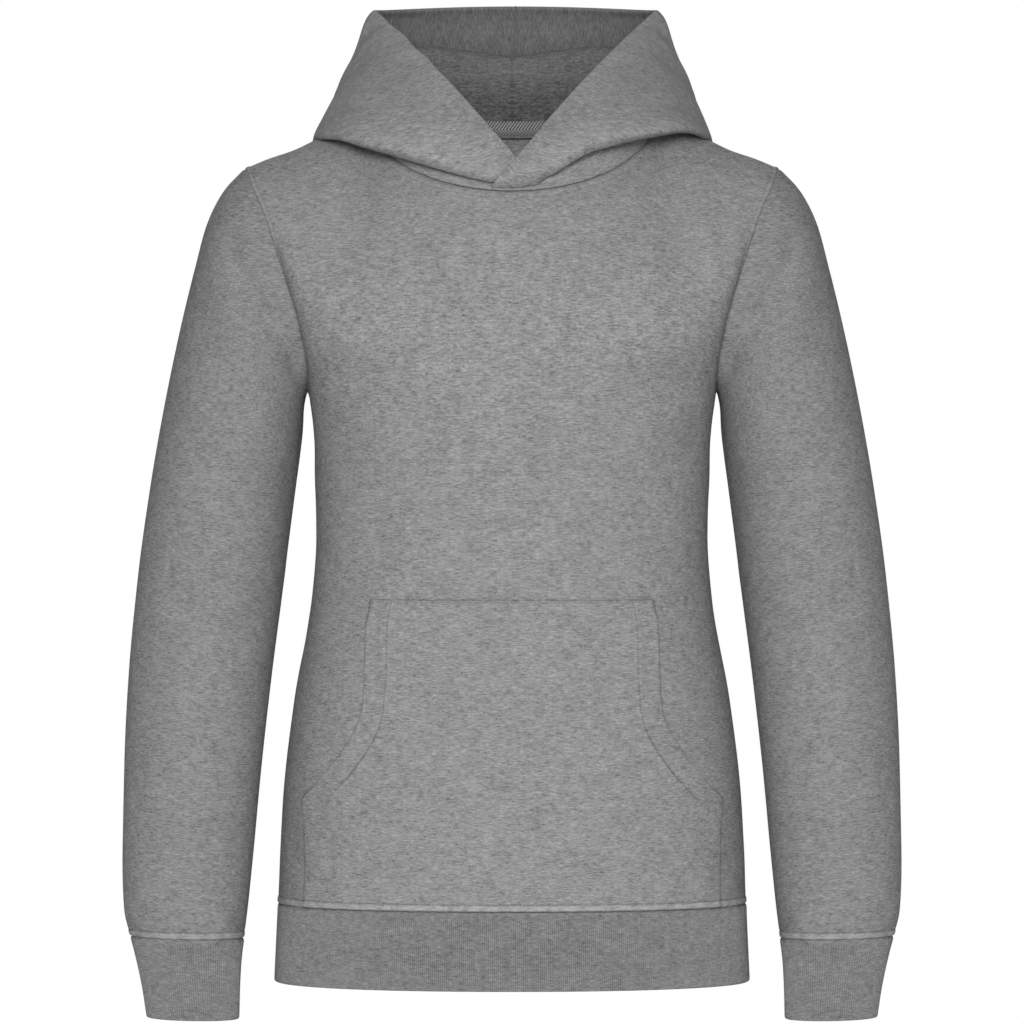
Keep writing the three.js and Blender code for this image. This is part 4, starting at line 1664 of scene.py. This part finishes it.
    def build(self, finishes: Finishes, sleeve_normals: Callable[[Array], Array]) -> None:
        """Makes both panels and their stitching and attaches them to the body.

        Args:
            finishes: finishes of the garment.
            sleeve_normals: directions of the sleeve's cloth at the armhole by their turn.
        """
        cut = {
            Facing.FRONT: ("body_front", (0.405, 0.52), 0.178),
            Facing.BACK: ("body_back", (0.405, 0.525), 0.181),
        }
        for facing, (node, flat, area) in cut.items():
            cloth = self.cloth(facing, sleeve_normals)
            piece = cloth.build(finishes.jersey)
            lines = self.stitch_lines(facing, cloth)
            sewing = Stitching().lay(cloth.name + "_sewing", lines, finishes.thread)
            dress(piece, node, (sewing,))


@dataclass(frozen=True)
class Wave:
    """Waves of a band along its seam: their height, step and seed, and how far they reach."""

    height: float
    step: float
    seed: float
    reach: float


@dataclass(frozen=True)
class Ribbing:
    """Fine ribs: four columns to a rib, a narrow groove and a rounded wale."""

    depth: float = 0.42
    profile: tuple[float, float, float, float] = (-1.0, 0.12, 0.42, 0.12)

    def height(self, columns: int) -> Array:
        """Height at each column of a ring, with the first repeated at the end."""
        return self.depth * np.resize(self.profile, columns + 1)

    def raised(
        self, around: Array, from_seam: Array, from_fold: Array, join: float, wave: Wave
    ) -> Array:
        """Height of a band: its ribs fade at the seam and the fold, its ends meet in a dip, and it
        waves where it is drawn in to the seam.

        Args:
            around: run round the band.
            from_seam: distance from the seam.
            from_fold: distance from the fold.
            join: depth of the dip.
            wave: the wave.

        Returns:
            Height at each point.
        """
        fade = smoothstep(0, 3, from_seam) * smoothstep(0, 2, from_fold)
        return (
            self.height(around.shape[1] - 1)[None] * fade
            + RIB_EDGE.tuck(from_seam)
            - join * bell(nearer_end(around), 0.9)
            + wave.height * puckers(around, wave.step, wave.seed) * bell(from_seam, wave.reach)
        )


def folded_edge(distance: Array, radius: float) -> Array:
    """How far a face turns in near a folded edge: radius minus the height of a quarter circle."""
    left = 1 - np.clip(distance / radius, 0, 1)
    return radius * (1 - np.sqrt(1 - left * left))


@dataclass
class HemBand:
    """Doubled rib band round the hem."""

    shape: BodyShape = BodyShape()
    wall: float = 2.4
    ribs: int = 620
    ribbing: Ribbing = Ribbing()
    fold_radius: float = 1.1
    join: float = 0.9
    wave: Wave = Wave(0.22, 11.0, 1.0, 7.0)
    creases: tuple[Crease, ...] = (
        Crease(-120, -500, -116, -526, 7, 0.6, 1),
        Crease(-70, -501, -66, -534, 9, 0.6, -2),
        Crease(-8, -500, -13, -522, 8, 0.5, 1),
        Crease(44, -501, 50, -538, 9, 0.6, 2),
        Crease(101, -500, 98, -524, 8, 0.6, -1),
    )

    def cloth(self) -> Cloth:
        """Ring from the left side seam round the front and the back, its columns at even steps.

        Returns:
            The band's cloth.
        """
        share = np.linspace(-1, 3, 4001)
        facing = np.where(share <= 1, -1.0, 1.0)
        across = np.where(share <= 1, share, 2 - share)

        def ring(columns: Array, heights: Array) -> Array:
            """Body at places round the ring."""
            front = self.shape.skirt(-1.0, np.interp(columns, share, across), heights)
            back = self.shape.skirt(1.0, np.interp(columns, share, across), heights)
            return np.where((np.interp(columns, share, facing) < 0)[..., None], front, back)

        line = ring(share, np.full(share.shape, self.shape.rib_seam))
        run = lengths(line)
        even = np.interp(np.linspace(0, run[-1], 4 * self.ribs + 1), run, share)
        top, bottom = self.shape.rib_seam, self.shape.hem_bottom
        heights = blend(bottom, top, graded(top - bottom, 5.0, 0.45, (1.8, 2.7)))
        base = ring(even[None], heights[:, None])
        base[:, -1] = base[:, 0]
        normals = grid_normals(base, 1.0, ring=True)
        normals *= np.sign((normals * (base * (1, 1, 0))).sum(-1).mean())
        normals[..., 2] *= 0.3
        normals = unit(normals)
        from_seam = (top - heights)[:, None]
        from_fold = (heights - bottom)[:, None]
        turned = folded_edge(from_fold, self.fold_radius)
        x, z = base[..., 0], base[..., 2]
        creased = pressed(self.creases, np.where(base[..., 1] < 0, x, 20 - x), z)
        around = lengths(base, 1)
        raised = self.ribbing.raised(around, from_seam, from_fold, self.join, self.wave) - creased
        under = raised * 0.3 - self.wall + turned
        return Cloth("hem_rib", base, normals, raised - turned, under, ring=True)

    def build(self, finishes: Finishes) -> None:
        piece = self.cloth().build(finishes.rib)
        dress(piece, "hem_band")


@dataclass
class Pocket:
    """Pouch pocket laid on the front, with a hand opening at each side."""

    body: BodyPanels
    wall: float = 1.5
    gape: float = 1.7
    rest: float = 0.5
    step: float = 2.3
    fine: float = 0.75
    sewn_below: float = -433.0
    opening_row: float = 15.0
    side_row: float = 1.6
    row_depth: float = 0.45
    lip_heights: tuple[float, float] = (-425.0, -345.0)
    # strengths of painted shade and painted highlights: shade along the top edge, the sewn sides
    # and the opening's row of stitches, most on its slant; highlights beside the slant and on the
    # lip of the opening
    top_shade: float = 0.12
    side_shade: float = 0.36
    row_shade: float = 0.07
    slant_shade: float = 0.25
    slant_light: float = 0.09
    lip_light: float = 0.07
    outline: Table = Table(
        "height half",
        (
            (-500.6, 131), (-474, 130.8), (-452, 130.8), (-433, 132), (-424, 124.5),
            (-413, 115.5), (-404, 108.2), (-395, 102), (-386, 96.8),
            (-374, 93), (-352, 91.2), (-329, 90.6), (-305.8, 88.4),
        ),
    )

    def cloth(self) -> Cloth:
        """Sheet over the front's own creased surface, standing off it by the gape at the openings
        and down on it where it is sewn.

        Returns:
            The pocket's cloth.
        """
        shape = self.body.shape
        bottom, top = self.outline.rows[0][0], self.outline.rows[-1][0]
        heights = blend(bottom, top, graded(top - bottom, self.step, self.fine, (8, 9)))[:, None]
        share = graded(264, self.step, self.fine, (32, 32))[None] * 2 - 1
        side = shape.levels.read("side", heights)
        half = self.outline.read("half", heights)
        rim = np.arcsin(signed_power(half / side, shape.squareness / 2)) * 2 / np.pi
        across = share * rim
        rise = (heights - shape.rib_seam) / (shape.underarm - shape.rib_seam)
        base = shape.point(-1.0, across, rise)
        normals = grid_normals(base, 1.0)
        creased = self.body.creased(Facing.FRONT, base[..., 0], base[..., 2])
        fade = smoothstep(-2, 6, heights - shape.rib_seam)
        run, up = lengths(base, 1), lengths(base, 0)
        from_side, from_top = nearer_end(run), up[-1:] - up
        open_share = smoothstep(self.sewn_below - 2, self.sewn_below + 14, heights)
        open_share = open_share * (1 - smoothstep(top - 16, top - 1, heights))
        belly = np.sin(np.pi * np.clip((heights - bottom) / (top - bottom), 0, 1))
        lip = smoothstep(*self.lip_heights, heights) * (1 - smoothstep(top - 10, top - 1, heights))
        gape = self.gape * blend(belly * (1 - share**4), lip, open_share)
        sewn = np.minimum(np.minimum(from_top, up), from_side + 30 * open_share)
        from_opening = self.from_opening(base)
        beyond = from_opening - self.opening_row
        hem = 0.35 * (smoothstep(0.2, 1.6, from_opening) - smoothstep(0.4, 3, beyond))
        from_rib = heights - shape.rib_seam
        raised = (
            self.rest
            + gape
            + self.wall
            - creased * fade
            + POCKET_SEAM.tuck(sewn)
            + hem
            + POCKET_SEAM.topstitched(from_top)
            + POCKET_SEAM.topstitched(from_side) * (1 - open_share)
            + RIB_SEAM.topstitched(from_rib)
            - self.row_depth * bell(beyond, 0.7)
            - folded_edge(from_side, 0.8) * open_share
        )
        under = raised - self.wall + 2 * folded_edge(from_side, 0.5) * open_share
        under = np.minimum(under, raised - 0.4)
        flat = np.stack(np.broadcast_arrays(from_middle(run), base[..., 2]), axis=-1)
        foot = 0.4 * puckers(run, 13.0, 0.0)
        slant, slant_foot = bell(heights + 408, 22), bell(heights + 414, 9)
        in_row = (self.row_shade + self.slant_shade * slant) * bell(beyond, 0.6)
        # painted light and shade: painted highlights over the top and foot allowances, beside the
        # slant and on the lip, painted shade at the edges and in the rows of stitches
        light = (
            POCKET_SEAM.shade(from_top)
            + RIB_SEAM.shade(from_rib, foot)
            - self.top_shade * bell(from_top, 0.8)
            - self.side_shade * bell(from_side - 0.9, 0.9) * (1 - open_share)
            - in_row * (1 - smoothstep(-330, -306, heights))
            + self.slant_light * bell(beyond + 4, 2.5) * slant_foot
            + self.lip_light * bell(from_opening - 3, 3) * smoothstep(-345, -320, heights)
        )
        return Cloth("pocket_cloth", base, normals, raised, under, grain=flat, light=light)

    def from_opening(self, base: Array) -> Array:
        """Distance of each point from the edge of the hand opening on its own side."""
        edge = base[base[:, -1, 2] > self.sewn_below, -1]
        return distance_to(right_half(base), edge)

    def stitch_lines(self, cloth: Cloth) -> list[tuple[Array, Array]]:
        """Rows along the top, beside the openings, down the short sides and along the foot.

        Args:
            cloth: the pocket's cloth.

        Returns:
            Points and directions of each row.
        """
        run, up = lengths(cloth.base, 1), lengths(cloth.base, 0)
        lines = [cloth.contour(up[-1:] - up, at, "top") for at in POCKET_SEAM.rows]
        foot = self.outline.rows[0][0] - self.body.shape.rib_seam
        lines += [cloth.contour(up, at - foot, "bottom") for at in RIB_SEAM.rows]
        from_opening = self.from_opening(cloth.base)
        for edge, distance in (("first", run), ("last", run[:, -1:] - run)):
            lines.append(cloth.contour(from_opening, self.opening_row, edge))
            points, normals = cloth.contour(distance, self.side_row, edge)
            sewn = points[:, 2] < self.sewn_below
            lines.append((points[sewn], normals[sewn]))
            lines += self.bar_tacks(cloth, distance, edge)
        return lines

    def bar_tacks(
        self, cloth: Cloth, distance: Array, edge: str, half: float = 4.0
    ) -> list[tuple[Array, Array]]:
        """Short dense bars across both ends of an opening, as three rows side by side.

        Args:
            cloth: the pocket's cloth.
            distance: distance of each point from the side.
            edge: which side, first or last.
            half: half the length of a bar.

        Returns:
            Points and directions of each row.
        """
        tacks = []
        for height in (self.sewn_below + 3, self.outline.rows[-1][0] - 5):
            for at in (2.0, 2.6, 3.2):
                points, normals = cloth.contour(distance, at, edge)
                near = np.abs(points[:, 2] - height) < half
                tacks.append((points[near], normals[near]))
        return tacks

    def build(self, finishes: Finishes) -> None:
        """Args:
            finishes: finishes of the garment.
        """
        cloth = self.cloth()
        piece = cloth.build(finishes.jersey)
        lines = [line for line in self.stitch_lines(cloth) if len(line[0]) > 2]
        sewing = Stitching().lay("pocket_sewing", lines, finishes.thread)
        dress(piece, "pocket", (sewing,))


@dataclass
class Sleeve:
    """Set-in sleeve with its rib cuff."""

    side: Side
    shape: SleeveShape = SleeveShape()
    wall: float = 1.5
    cuff_wall: float = 2.4
    columns: int = 140
    step: float = 2.5
    fine: float = 0.6
    margin: float = 9.0
    ribs: int = 124
    ribbing: Ribbing = Ribbing()
    fold_radius: float = 1.1
    join: float = 0.8
    wave: Wave = Wave(0.2, 10.0, 2.0, 6.0)
    cuff_height: float = 51.5
    dent: float = 0.5
    fall: tuple[float, float, float] = (36.0, 0.0, -490.0)
    turn_to_mm: float = 0.9
    creases: tuple[Crease, ...] = (
        Crease(30, 60, 78, 92, 13, 1.0, 5),
        Crease(66, 118, 128, 96, 11, 1.3, 6),
        Crease(84, 176, 146, 150, 11, 1.2, 5),
        Crease(52, 214, 104, 226, 12, 0.7, -5),
        Crease(96, 262, 148, 232, 11, 1.3, 6),
        Crease(70, 306, 126, 282, 10, 0.8, -4),
        Crease(28, 366, 88, 380, 12, 0.6, 4),
        Crease(20, 432, 82, 440, 8, 0.9, -3),
        Crease(70, 452, 138, 446, 7, 1.0, 3),
        Crease(198, 108, 262, 130, 12, 1.5, -6),
        Crease(186, 160, 250, 186, 12, 1.6, -6),
        Crease(190, 216, 268, 236, 12, 1.9, 7),
        Crease(186, 256, 262, 268, 11, 1.9, -6),
        Crease(200, 300, 276, 292, 11, 1.3, 5),
        Crease(208, 352, 292, 366, 12, 0.9, 5),
        Crease(196, 420, 276, 432, 8, 1.1, 4),
        Crease(232, 452, 306, 446, 7, 0.9, -3),
    )

    def mirrored(self, vectors: Array) -> Array:
        """Vectors taken to this sleeve's side."""
        return vectors * (self.side.value, 1, 1)

    def turns(self, table: Table, columns: int, down: float) -> Array:
        """Turns of a ring's columns at even steps round a section, from underarm to underarm.

        Args:
            table: the sections.
            columns: number of columns.
            down: share of the way down the sections.

        Returns:
            Turns over a whole turn.
        """
        dense = np.linspace(180, 540, 2881)
        run = lengths(self.shape.section(table, dense, down))
        return np.interp(np.linspace(0, run[-1], columns + 1), run, dense)

    def armhole_normals(self, turn: Array) -> Array:
        """Directions of the sleeve's cloth at the armhole on the +X side.

        Args:
            turn: degrees from the shoulder, past the front, 90, and the underarm, 180.

        Returns:
            Unit vectors, one for each turn.
        """
        point, top = self.shape.point, np.zeros(1)
        ahead = point(turn + 0.5, top) - point(turn - 0.5, top)
        down = point(turn, top + PROBE) - point(turn, top)
        return unit(np.cross(ahead, down))

    def cloth(self, body_normals: Callable[[Array], Array]) -> Cloth:
        """Sleeve from the armhole down to the cuff, with its creases and rolled seams.

        Args:
            body_normals: directions of the body's cloth at the armhole by their turn.

        Returns:
            The sleeve's cloth.
        """
        turn = np.linspace(180, 540, self.columns + 1)
        dense = np.linspace(0, 1, 600)
        run = lengths(self.shape.point(np.full(600, 90.0), dense))
        places = graded(run[-1], self.step, self.fine, (7, self.margin))
        down = np.interp(places, run / run[-1], dense)
        base = self.shape.point(turn[None], down[:, None])
        base[:, -1] = base[:, 0]
        normals = grid_normals(base, 1.0, ring=True)
        normals[0] = unit(normals[0] + body_normals(turn % 360))
        from_top = lengths(base, 0)
        from_cuff = from_top[-1:] - from_top
        around = lengths(base, 1)
        from_seam = nearer_end(around)
        x = np.broadcast_to((turn % 360)[None] * self.turn_to_mm, base.shape[:2])
        calm = smoothstep(0, 9, from_top) * smoothstep(-1, 6, from_cuff)
        calm = calm * smoothstep(0, 10, from_seam)
        z = np.broadcast_to(places[:, None] * run[-1], x.shape)
        creased = pressed(self.scaled(), x, z)
        wave = 0.3 * np.sin(z / 37 + np.sin(x / 33)) * np.sin(x / 26 + 1.2 * np.sin(z / 61))
        raised = (
            -(creased + wave) * calm
            + ARMHOLE_SEAM.tuck(from_top)
            + RIB_SEAM.tuck(from_cuff)
            - 0.7 * bell(from_seam, 1.3)
            + RIB_SEAM.topstitched(from_cuff, 0.3 * puckers(around, 9.0, 1.0))
            - self.dent * bell(from_seam, 18) * bell(from_top - 11, 8)
        )
        name = "sleeve_cloth_" + self.side.name.lower()
        fall = base @ unit(np.array(self.fall))
        flat = np.stack([around - around[:, -1:] / 2, fall], axis=-1)
        # painted highlight over the cuff seam's allowance and painted shade in its row of stitches
        light = RIB_SEAM.shade(from_cuff, 0.4 * puckers(around, 12.0, 2.0))
        base, normals = self.mirrored(base), self.mirrored(normals)
        return Cloth(name, base, normals, raised, raised - self.wall, True, flat, light)

    def scaled(self) -> tuple[Crease, ...]:
        """Creases with their turns as distances round the sleeve."""
        k = self.turn_to_mm
        return tuple(replace(crease, x0=crease.x0 * k, x1=crease.x1 * k) for crease in self.creases)

    def cuff(self) -> Cloth:
        """Doubled rib cuff, its ribs at even steps round it.

        Returns:
            The cuff's cloth.
        """
        table = self.shape.cuff_sections
        turn = self.turns(table, 4 * self.ribs, 0.5)
        tall = self.cuff_height
        down = graded(tall, 4.5, 0.45, (2.7, 1.8))
        base = self.shape.section(table, turn[None], down[:, None])
        base[:, -1] = base[:, 0]
        normals = grid_normals(base, 1.0, ring=True)
        from_seam, from_fold = down[:, None] * tall, (1 - down[:, None]) * tall
        turned = folded_edge(from_fold, self.fold_radius)
        around = lengths(base, 1)
        raised = self.ribbing.raised(around, from_seam, from_fold, self.join, self.wave)
        under = raised * 0.3 - self.cuff_wall + turned
        name = "cuff_rib_" + self.side.name.lower()
        base, normals = self.mirrored(base), self.mirrored(normals)
        return Cloth(name, base, normals, raised - turned, under, ring=True)

    def build(self, finishes: Finishes, body_normals: Callable[[Array], Array]) -> None:
        """Args:
            finishes: finishes of the garment.
            body_normals: directions of the body's cloth at the armhole by their turn.
        """
        name = self.side.name.lower()
        cloth = self.cloth(body_normals)
        piece = cloth.build(finishes.sleeve)
        run = lengths(cloth.base, 0)
        lines = [cloth.contour(run[-1:] - run, at, "top") for at in RIB_SEAM.rows]
        sewing = Stitching().lay("sleeve_sewing_" + name, lines, finishes.thread)
        dress(piece, "sleeve_" + name, (sewing,))
        cuff = self.cuff().build(finishes.rib)
        dress(cuff, "cuff_" + name)


@dataclass
class Hood:
    """Self-lined hood of two halves, with the right front edge lapped over the left one."""

    shape: HoodShape = HoodShape()
    wall: float = 1.35
    gap: float = 0.12
    foot_lap: float = 0.9
    step: float = 2.6
    fine: float = 0.8
    ripple: float = 0.8
    wave: float = 0.4
    back_dip: float = 0.85
    painted_crown_light: float = 0.12
    painted_neck_shade: float = 0.26
    creases: tuple[Crease, ...] = (
        Crease(70, 222, 132, 262, 12, 1.4, 6),
        Crease(96, 150, 160, 178, 12, 1.6, -6),
        Crease(40, 300, 118, 330, 11, 1.2, 7),
        Crease(150, 236, 176, 300, 12, 1.3, 4),
        Crease(120, 330, 172, 352, 12, 1.4, -5),
        Crease(126, 392, 170, 400, 12, 1.1, 5),
    )

    def cloth(self, side: Side, layer: Layer) -> Cloth:
        """One layer of one half: it rises from the neck seam, its edge is rounded where outer
        layer and lining meet, and both halves dip into the seam down the middle of the back.

        Args:
            side: which half.
            layer: which layer.

        Returns:
            The layer's cloth.
        """
        turns = blend(self.shape.first_turn, 180, graded(352, self.step, self.fine, (4, 7)))
        dense = np.linspace(0, 7, 1401)
        reference = self.shape.point(np.full(1, 165.0), dense, side)
        run = lengths(reference, 1)[0]
        along = np.interp(graded(run[-1], self.step, self.fine, (8, 6)), run / run[-1], dense)
        base = self.shape.point(turns, along, side)
        section = lengths(base, 1)
        from_foot, from_edge = section, section[:, -1:] - section
        down_back = lengths(base, 0)
        from_back, from_front = down_back[-1:] - down_back, down_back
        swing = np.radians(turns)
        ahead = xyz(np.sin(swing), -np.cos(swing), 0)[:, None]
        rolled = from_edge / 8 * np.exp(1 - from_edge / 8)
        base = base + ahead * (self.shape.lips.read("lip", turns)[:, None] * rolled)[..., None]
        shift = self.shape.slant * smoothstep(0.35, 1, section / section[:, -1:])
        ripple = self.ripple * np.sin(turns * 0.33) * smoothstep(60, 90, turns)
        ripple = ripple * (1 - smoothstep(105, 118, turns))
        if side is Side.LEFT:
            shift = shift + ripple[:, None] * bell(from_edge, 14)
        base[..., 0] += side.value * shift
        normals = grid_normals(base, -1.0)
        lap = side.value * (1 - smoothstep(6, 36, turns))[:, None]
        lap = lap * blend(self.foot_lap, self.shape.lap, smoothstep(0, 6, from_foot))
        base = base + ahead * lap[..., None]
        base[-1, :, 0] = side.value * shift[-1]
        normals[-1, :, 0] = 0
        normals[-1] = unit(normals[-1])
        rounded = np.minimum(from_edge, from_front)
        thick = self.gap + self.wall
        full = thick - folded_edge(rounded, thick)
        risen = blend(0.15, 1.0, 1 - np.exp(-from_foot / 2.2))
        x, z = turns[:, None] * np.ones_like(section), section
        calm = smoothstep(0, 10, np.minimum(from_foot, from_edge)) * smoothstep(0, 8, from_back)
        creased = pressed(self.creases, x, z) * calm
        wave = self.wave * np.sin(z / 29 + np.sin(x / 21)) * np.sin(x / 17 + np.sin(z / 47)) * calm
        dip = self.back_dip * bell(from_back, 0.9)
        way = layer.value
        pushed = -way * (creased + wave)
        raised = full * risen + pushed - dip
        under = np.minimum(self.gap * smoothstep(0, 2, rounded) + pushed, raised - 0.05)
        light = None
        # painted light and shade on the lining: painted shade deep in the neck and a painted
        # highlight far up towards the edge
        if layer is Layer.LINING:
            low = 1 - smoothstep(8, 42, from_foot)
            light = self.painted_crown_light * smoothstep(120, 200, from_foot) - self.painted_neck_shade * low
        name = ("hood_cloth_" if way > 0 else "hood_lining_cloth_") + side.name.lower()
        mirror = np.array((side.value, 1, 1))
        flat, base, normals = self.grain(base, section), base * mirror, normals * way * mirror
        return Cloth(name, base, normals, raised, under, grain=flat, light=light)

    def grain(self, base: Array, section: Array) -> Array:
        """Flat place on the cut half, whose foot and front edge meet square at the front corner:
        the run from that corner, swung from foot to edge by the share of the section.

        Args:
            base: grid of points.
            section: run along each section.

        Returns:
            Rows by columns by 2, in millimetres.
        """
        run = lengths(base, 0)
        share = section / np.maximum(section[:, -1:], 1e-6)
        reach = blend(run[:, :1], run[:, -1:], share)
        swing = share * np.pi / 2
        return np.stack([reach * np.cos(swing), reach * np.sin(swing)], axis=-1)

    def build(self, finishes: Finishes) -> None:
        """Makes both layers of both halves and attaches them to the body.

        Args:
            finishes: finishes of the garment.
        """
        for side in Side:
            name = side.name.lower()
            outer = self.cloth(side, Layer.OUTER).build(finishes.hood)
            dress(outer, "hood_" + name)
            lining = self.cloth(side, Layer.LINING).build(finishes.lining)
            dress(lining, "hood_lining_" + name)


@dataclass
class NeckTape:
    """Herringbone tape over the neck seam, inside the back of the neck."""

    shape: BodyShape = BodyShape()
    wall: float = 1.0
    start: float = 96.0
    rows: Table = Table("height inset", ((-8.6, 1.6), (-3.4, 4.1), (2.5, 4.3)))
    weave: float = 0.22
    pitch: float = 2.1
    stitch_row: float = 1.2

    def build(self, finishes: Finishes) -> None:
        """Makes a band at a height over the neck seam and an inset within it, and attaches it.

        Its ribs are a triangle wave along the tape, slanted by the distance from its middle.

        Args:
            finishes: finishes of the garment.
        """
        turn = np.linspace(self.start, 360 - self.start, 721)
        bottom, top = self.rows.rows[0][0], self.rows.rows[-1][0]
        height = np.linspace(bottom, top, 25)[:, None]
        seam = self.shape.neck_seam(np.where(turn <= 180, turn, 360 - turn))
        swing = np.radians(turn)
        out = xyz(np.sin(swing), -np.cos(swing), 0)
        x = np.where(turn <= 180, seam[:, 0], -seam[:, 0])
        z = seam[:, 2][None] + height - self.shape.neck_back_height
        base = xyz(x, seam[:, 1], z) - out[None] * self.rows.read("inset", height)[..., None]
        normals = np.broadcast_to(-out, base.shape)
        run = lengths(base, 1)
        aside = np.abs(height - (bottom + top) / 2)
        ribs = np.abs(((run + aside * 0.8) / self.pitch) % 1 * 2 - 1)
        from_edge = (top - bottom) / 2 - aside
        raised = self.wall + self.weave * (ribs - 0.5) - folded_edge(from_edge, 0.5)
        raised = raised - 0.25 * bell(from_edge - self.stitch_row, 0.5)
        up = np.broadcast_to(height - bottom, run.shape)
        down = np.broadcast_to(top - height, run.shape)
        flat = np.stack([run, up], axis=-1)
        cloth = Cloth("neck_tape_cloth", base, normals, raised, 0 * raised, grain=flat)
        piece = cloth.build(finishes.tape)
        lines = [
            cloth.contour(up, self.stitch_row, "bottom"),
            cloth.contour(down, self.stitch_row, "top"),
        ]
        sewing = Stitching(pitch=2.8).lay("neck_tape_sewing", lines, finishes.thread)
        dress(piece, "neck_tape", (sewing,))


@dataclass(frozen=True)
class Studio:
    """Camera at the photograph's angle, a pale floor and soft light."""

    camera_distance: float = 3.9
    camera_height: float = -0.251
    lens: float = 214.2
    floor_height: float = -0.66
    floor_radius: float = 0.8
    surround: float = 0.29
    key_power: float = 74.0
    lamps: tuple[tuple[str, tuple, tuple, float, float], ...] = (
        ("key", (-0.12, -3.3, 0.45), (0, 0, -0.25), 0.8, 1.0),
        ("fill", (0.3, -3.6, -0.2), (0, 0, -0.3), 1.2, 0.22),
        ("behind", (0, 3.2, 1.0), (0, 0, -0.2), 1.8, 0.8),
    )

    def lamp(self, name: str, place: tuple, aim: tuple, size: float, share: float) -> None:
        """Adds a square soft light.

        Args:
            name: name of the lamp.
            place: where it stands, in metres.
            aim: what it is turned to.
            size: its width.
            share: its power as a share of the key's.
        """
        data = bpy.data.lights.new(name, "AREA")
        data.size = size
        data.energy = self.key_power * share
        lamp = bpy.data.objects.new(name, data)
        lamp.location = place
        way = np.subtract(aim, place)
        pitch = math.atan2(math.hypot(way[0], way[1]), -way[2])
        lamp.rotation_euler = (pitch, 0, math.atan2(way[1], way[0]) - math.pi / 2)
        bpy.context.scene.collection.objects.link(lamp)

    def floor(self) -> None:
        """Adds a round floor that isn't part of the object."""
        turn = np.linspace(0, 2 * np.pi, 129)[:-1]
        rim = np.stack([np.cos(turn), np.sin(turn), 0 * turn], -1) * self.floor_radius
        rim[:, 2] = self.floor_height
        mesh = bpy.data.meshes.new("floor")
        mesh.from_pydata(rim.tolist(), [], [list(range(len(rim)))])
        graph = Graph("floor_paint")
        shader = graph.node(
            "ShaderNodeBsdfPrincipled", {}, {"Base Color": (0.9, 0.9, 0.9, 1), "Roughness": 0.8}
        )
        output = graph.node("ShaderNodeOutputMaterial", {}, {})
        graph.tree.links.new(shader.outputs[0], output.inputs["Surface"])
        mesh.materials.append(graph.material)
        floor = bpy.data.objects.new("floor", mesh)
        bpy.context.scene.collection.objects.link(floor)

    def build(self) -> None:
        """Sets up camera, lights, surroundings and floor."""
        scene = bpy.context.scene
        data = bpy.data.cameras.new("camera")
        data.lens = self.lens
        data.sensor_width = 36.0
        data.clip_end = 50.0
        camera = bpy.data.objects.new("camera", data)
        camera.location = (0, -self.camera_distance, self.camera_height)
        camera.rotation_euler = (math.pi / 2, 0, 0)
        scene.collection.objects.link(camera)
        scene.camera = camera
        scene.view_settings.view_transform = "Standard"
        world = bpy.data.worlds.new("surroundings")
        world.use_nodes = True
        scene.world = world
        tree = world.node_tree
        background = tree.nodes["Background"]
        rays = tree.nodes.new("ShaderNodeLightPath")
        strength = tree.nodes.new("ShaderNodeMapRange")
        strength.inputs["To Min"].default_value = self.surround
        strength.inputs["To Max"].default_value = 1.0
        tree.links.new(rays.outputs["Is Camera Ray"], strength.inputs["Value"])
        tree.links.new(strength.outputs[0], background.inputs["Strength"])
        background.inputs["Color"].default_value = (1, 1, 1, 1)
        for each in self.lamps:
            self.lamp(*each)
        self.floor()


def main() -> None:
    """Builds the garment piece by piece, then the studio."""
    finishes = Finishes()
    body = BodyPanels()
    body.build(finishes, Sleeve(Side.RIGHT).armhole_normals)
    for side in Side:
        Sleeve(side).build(finishes, body.armhole_normals)
    HemBand().build(finishes)
    Pocket(body).build(finishes)
    Hood().build(finishes)
    NeckTape().build(finishes)
    Studio().build()


if __name__ == "__main__":
    main()
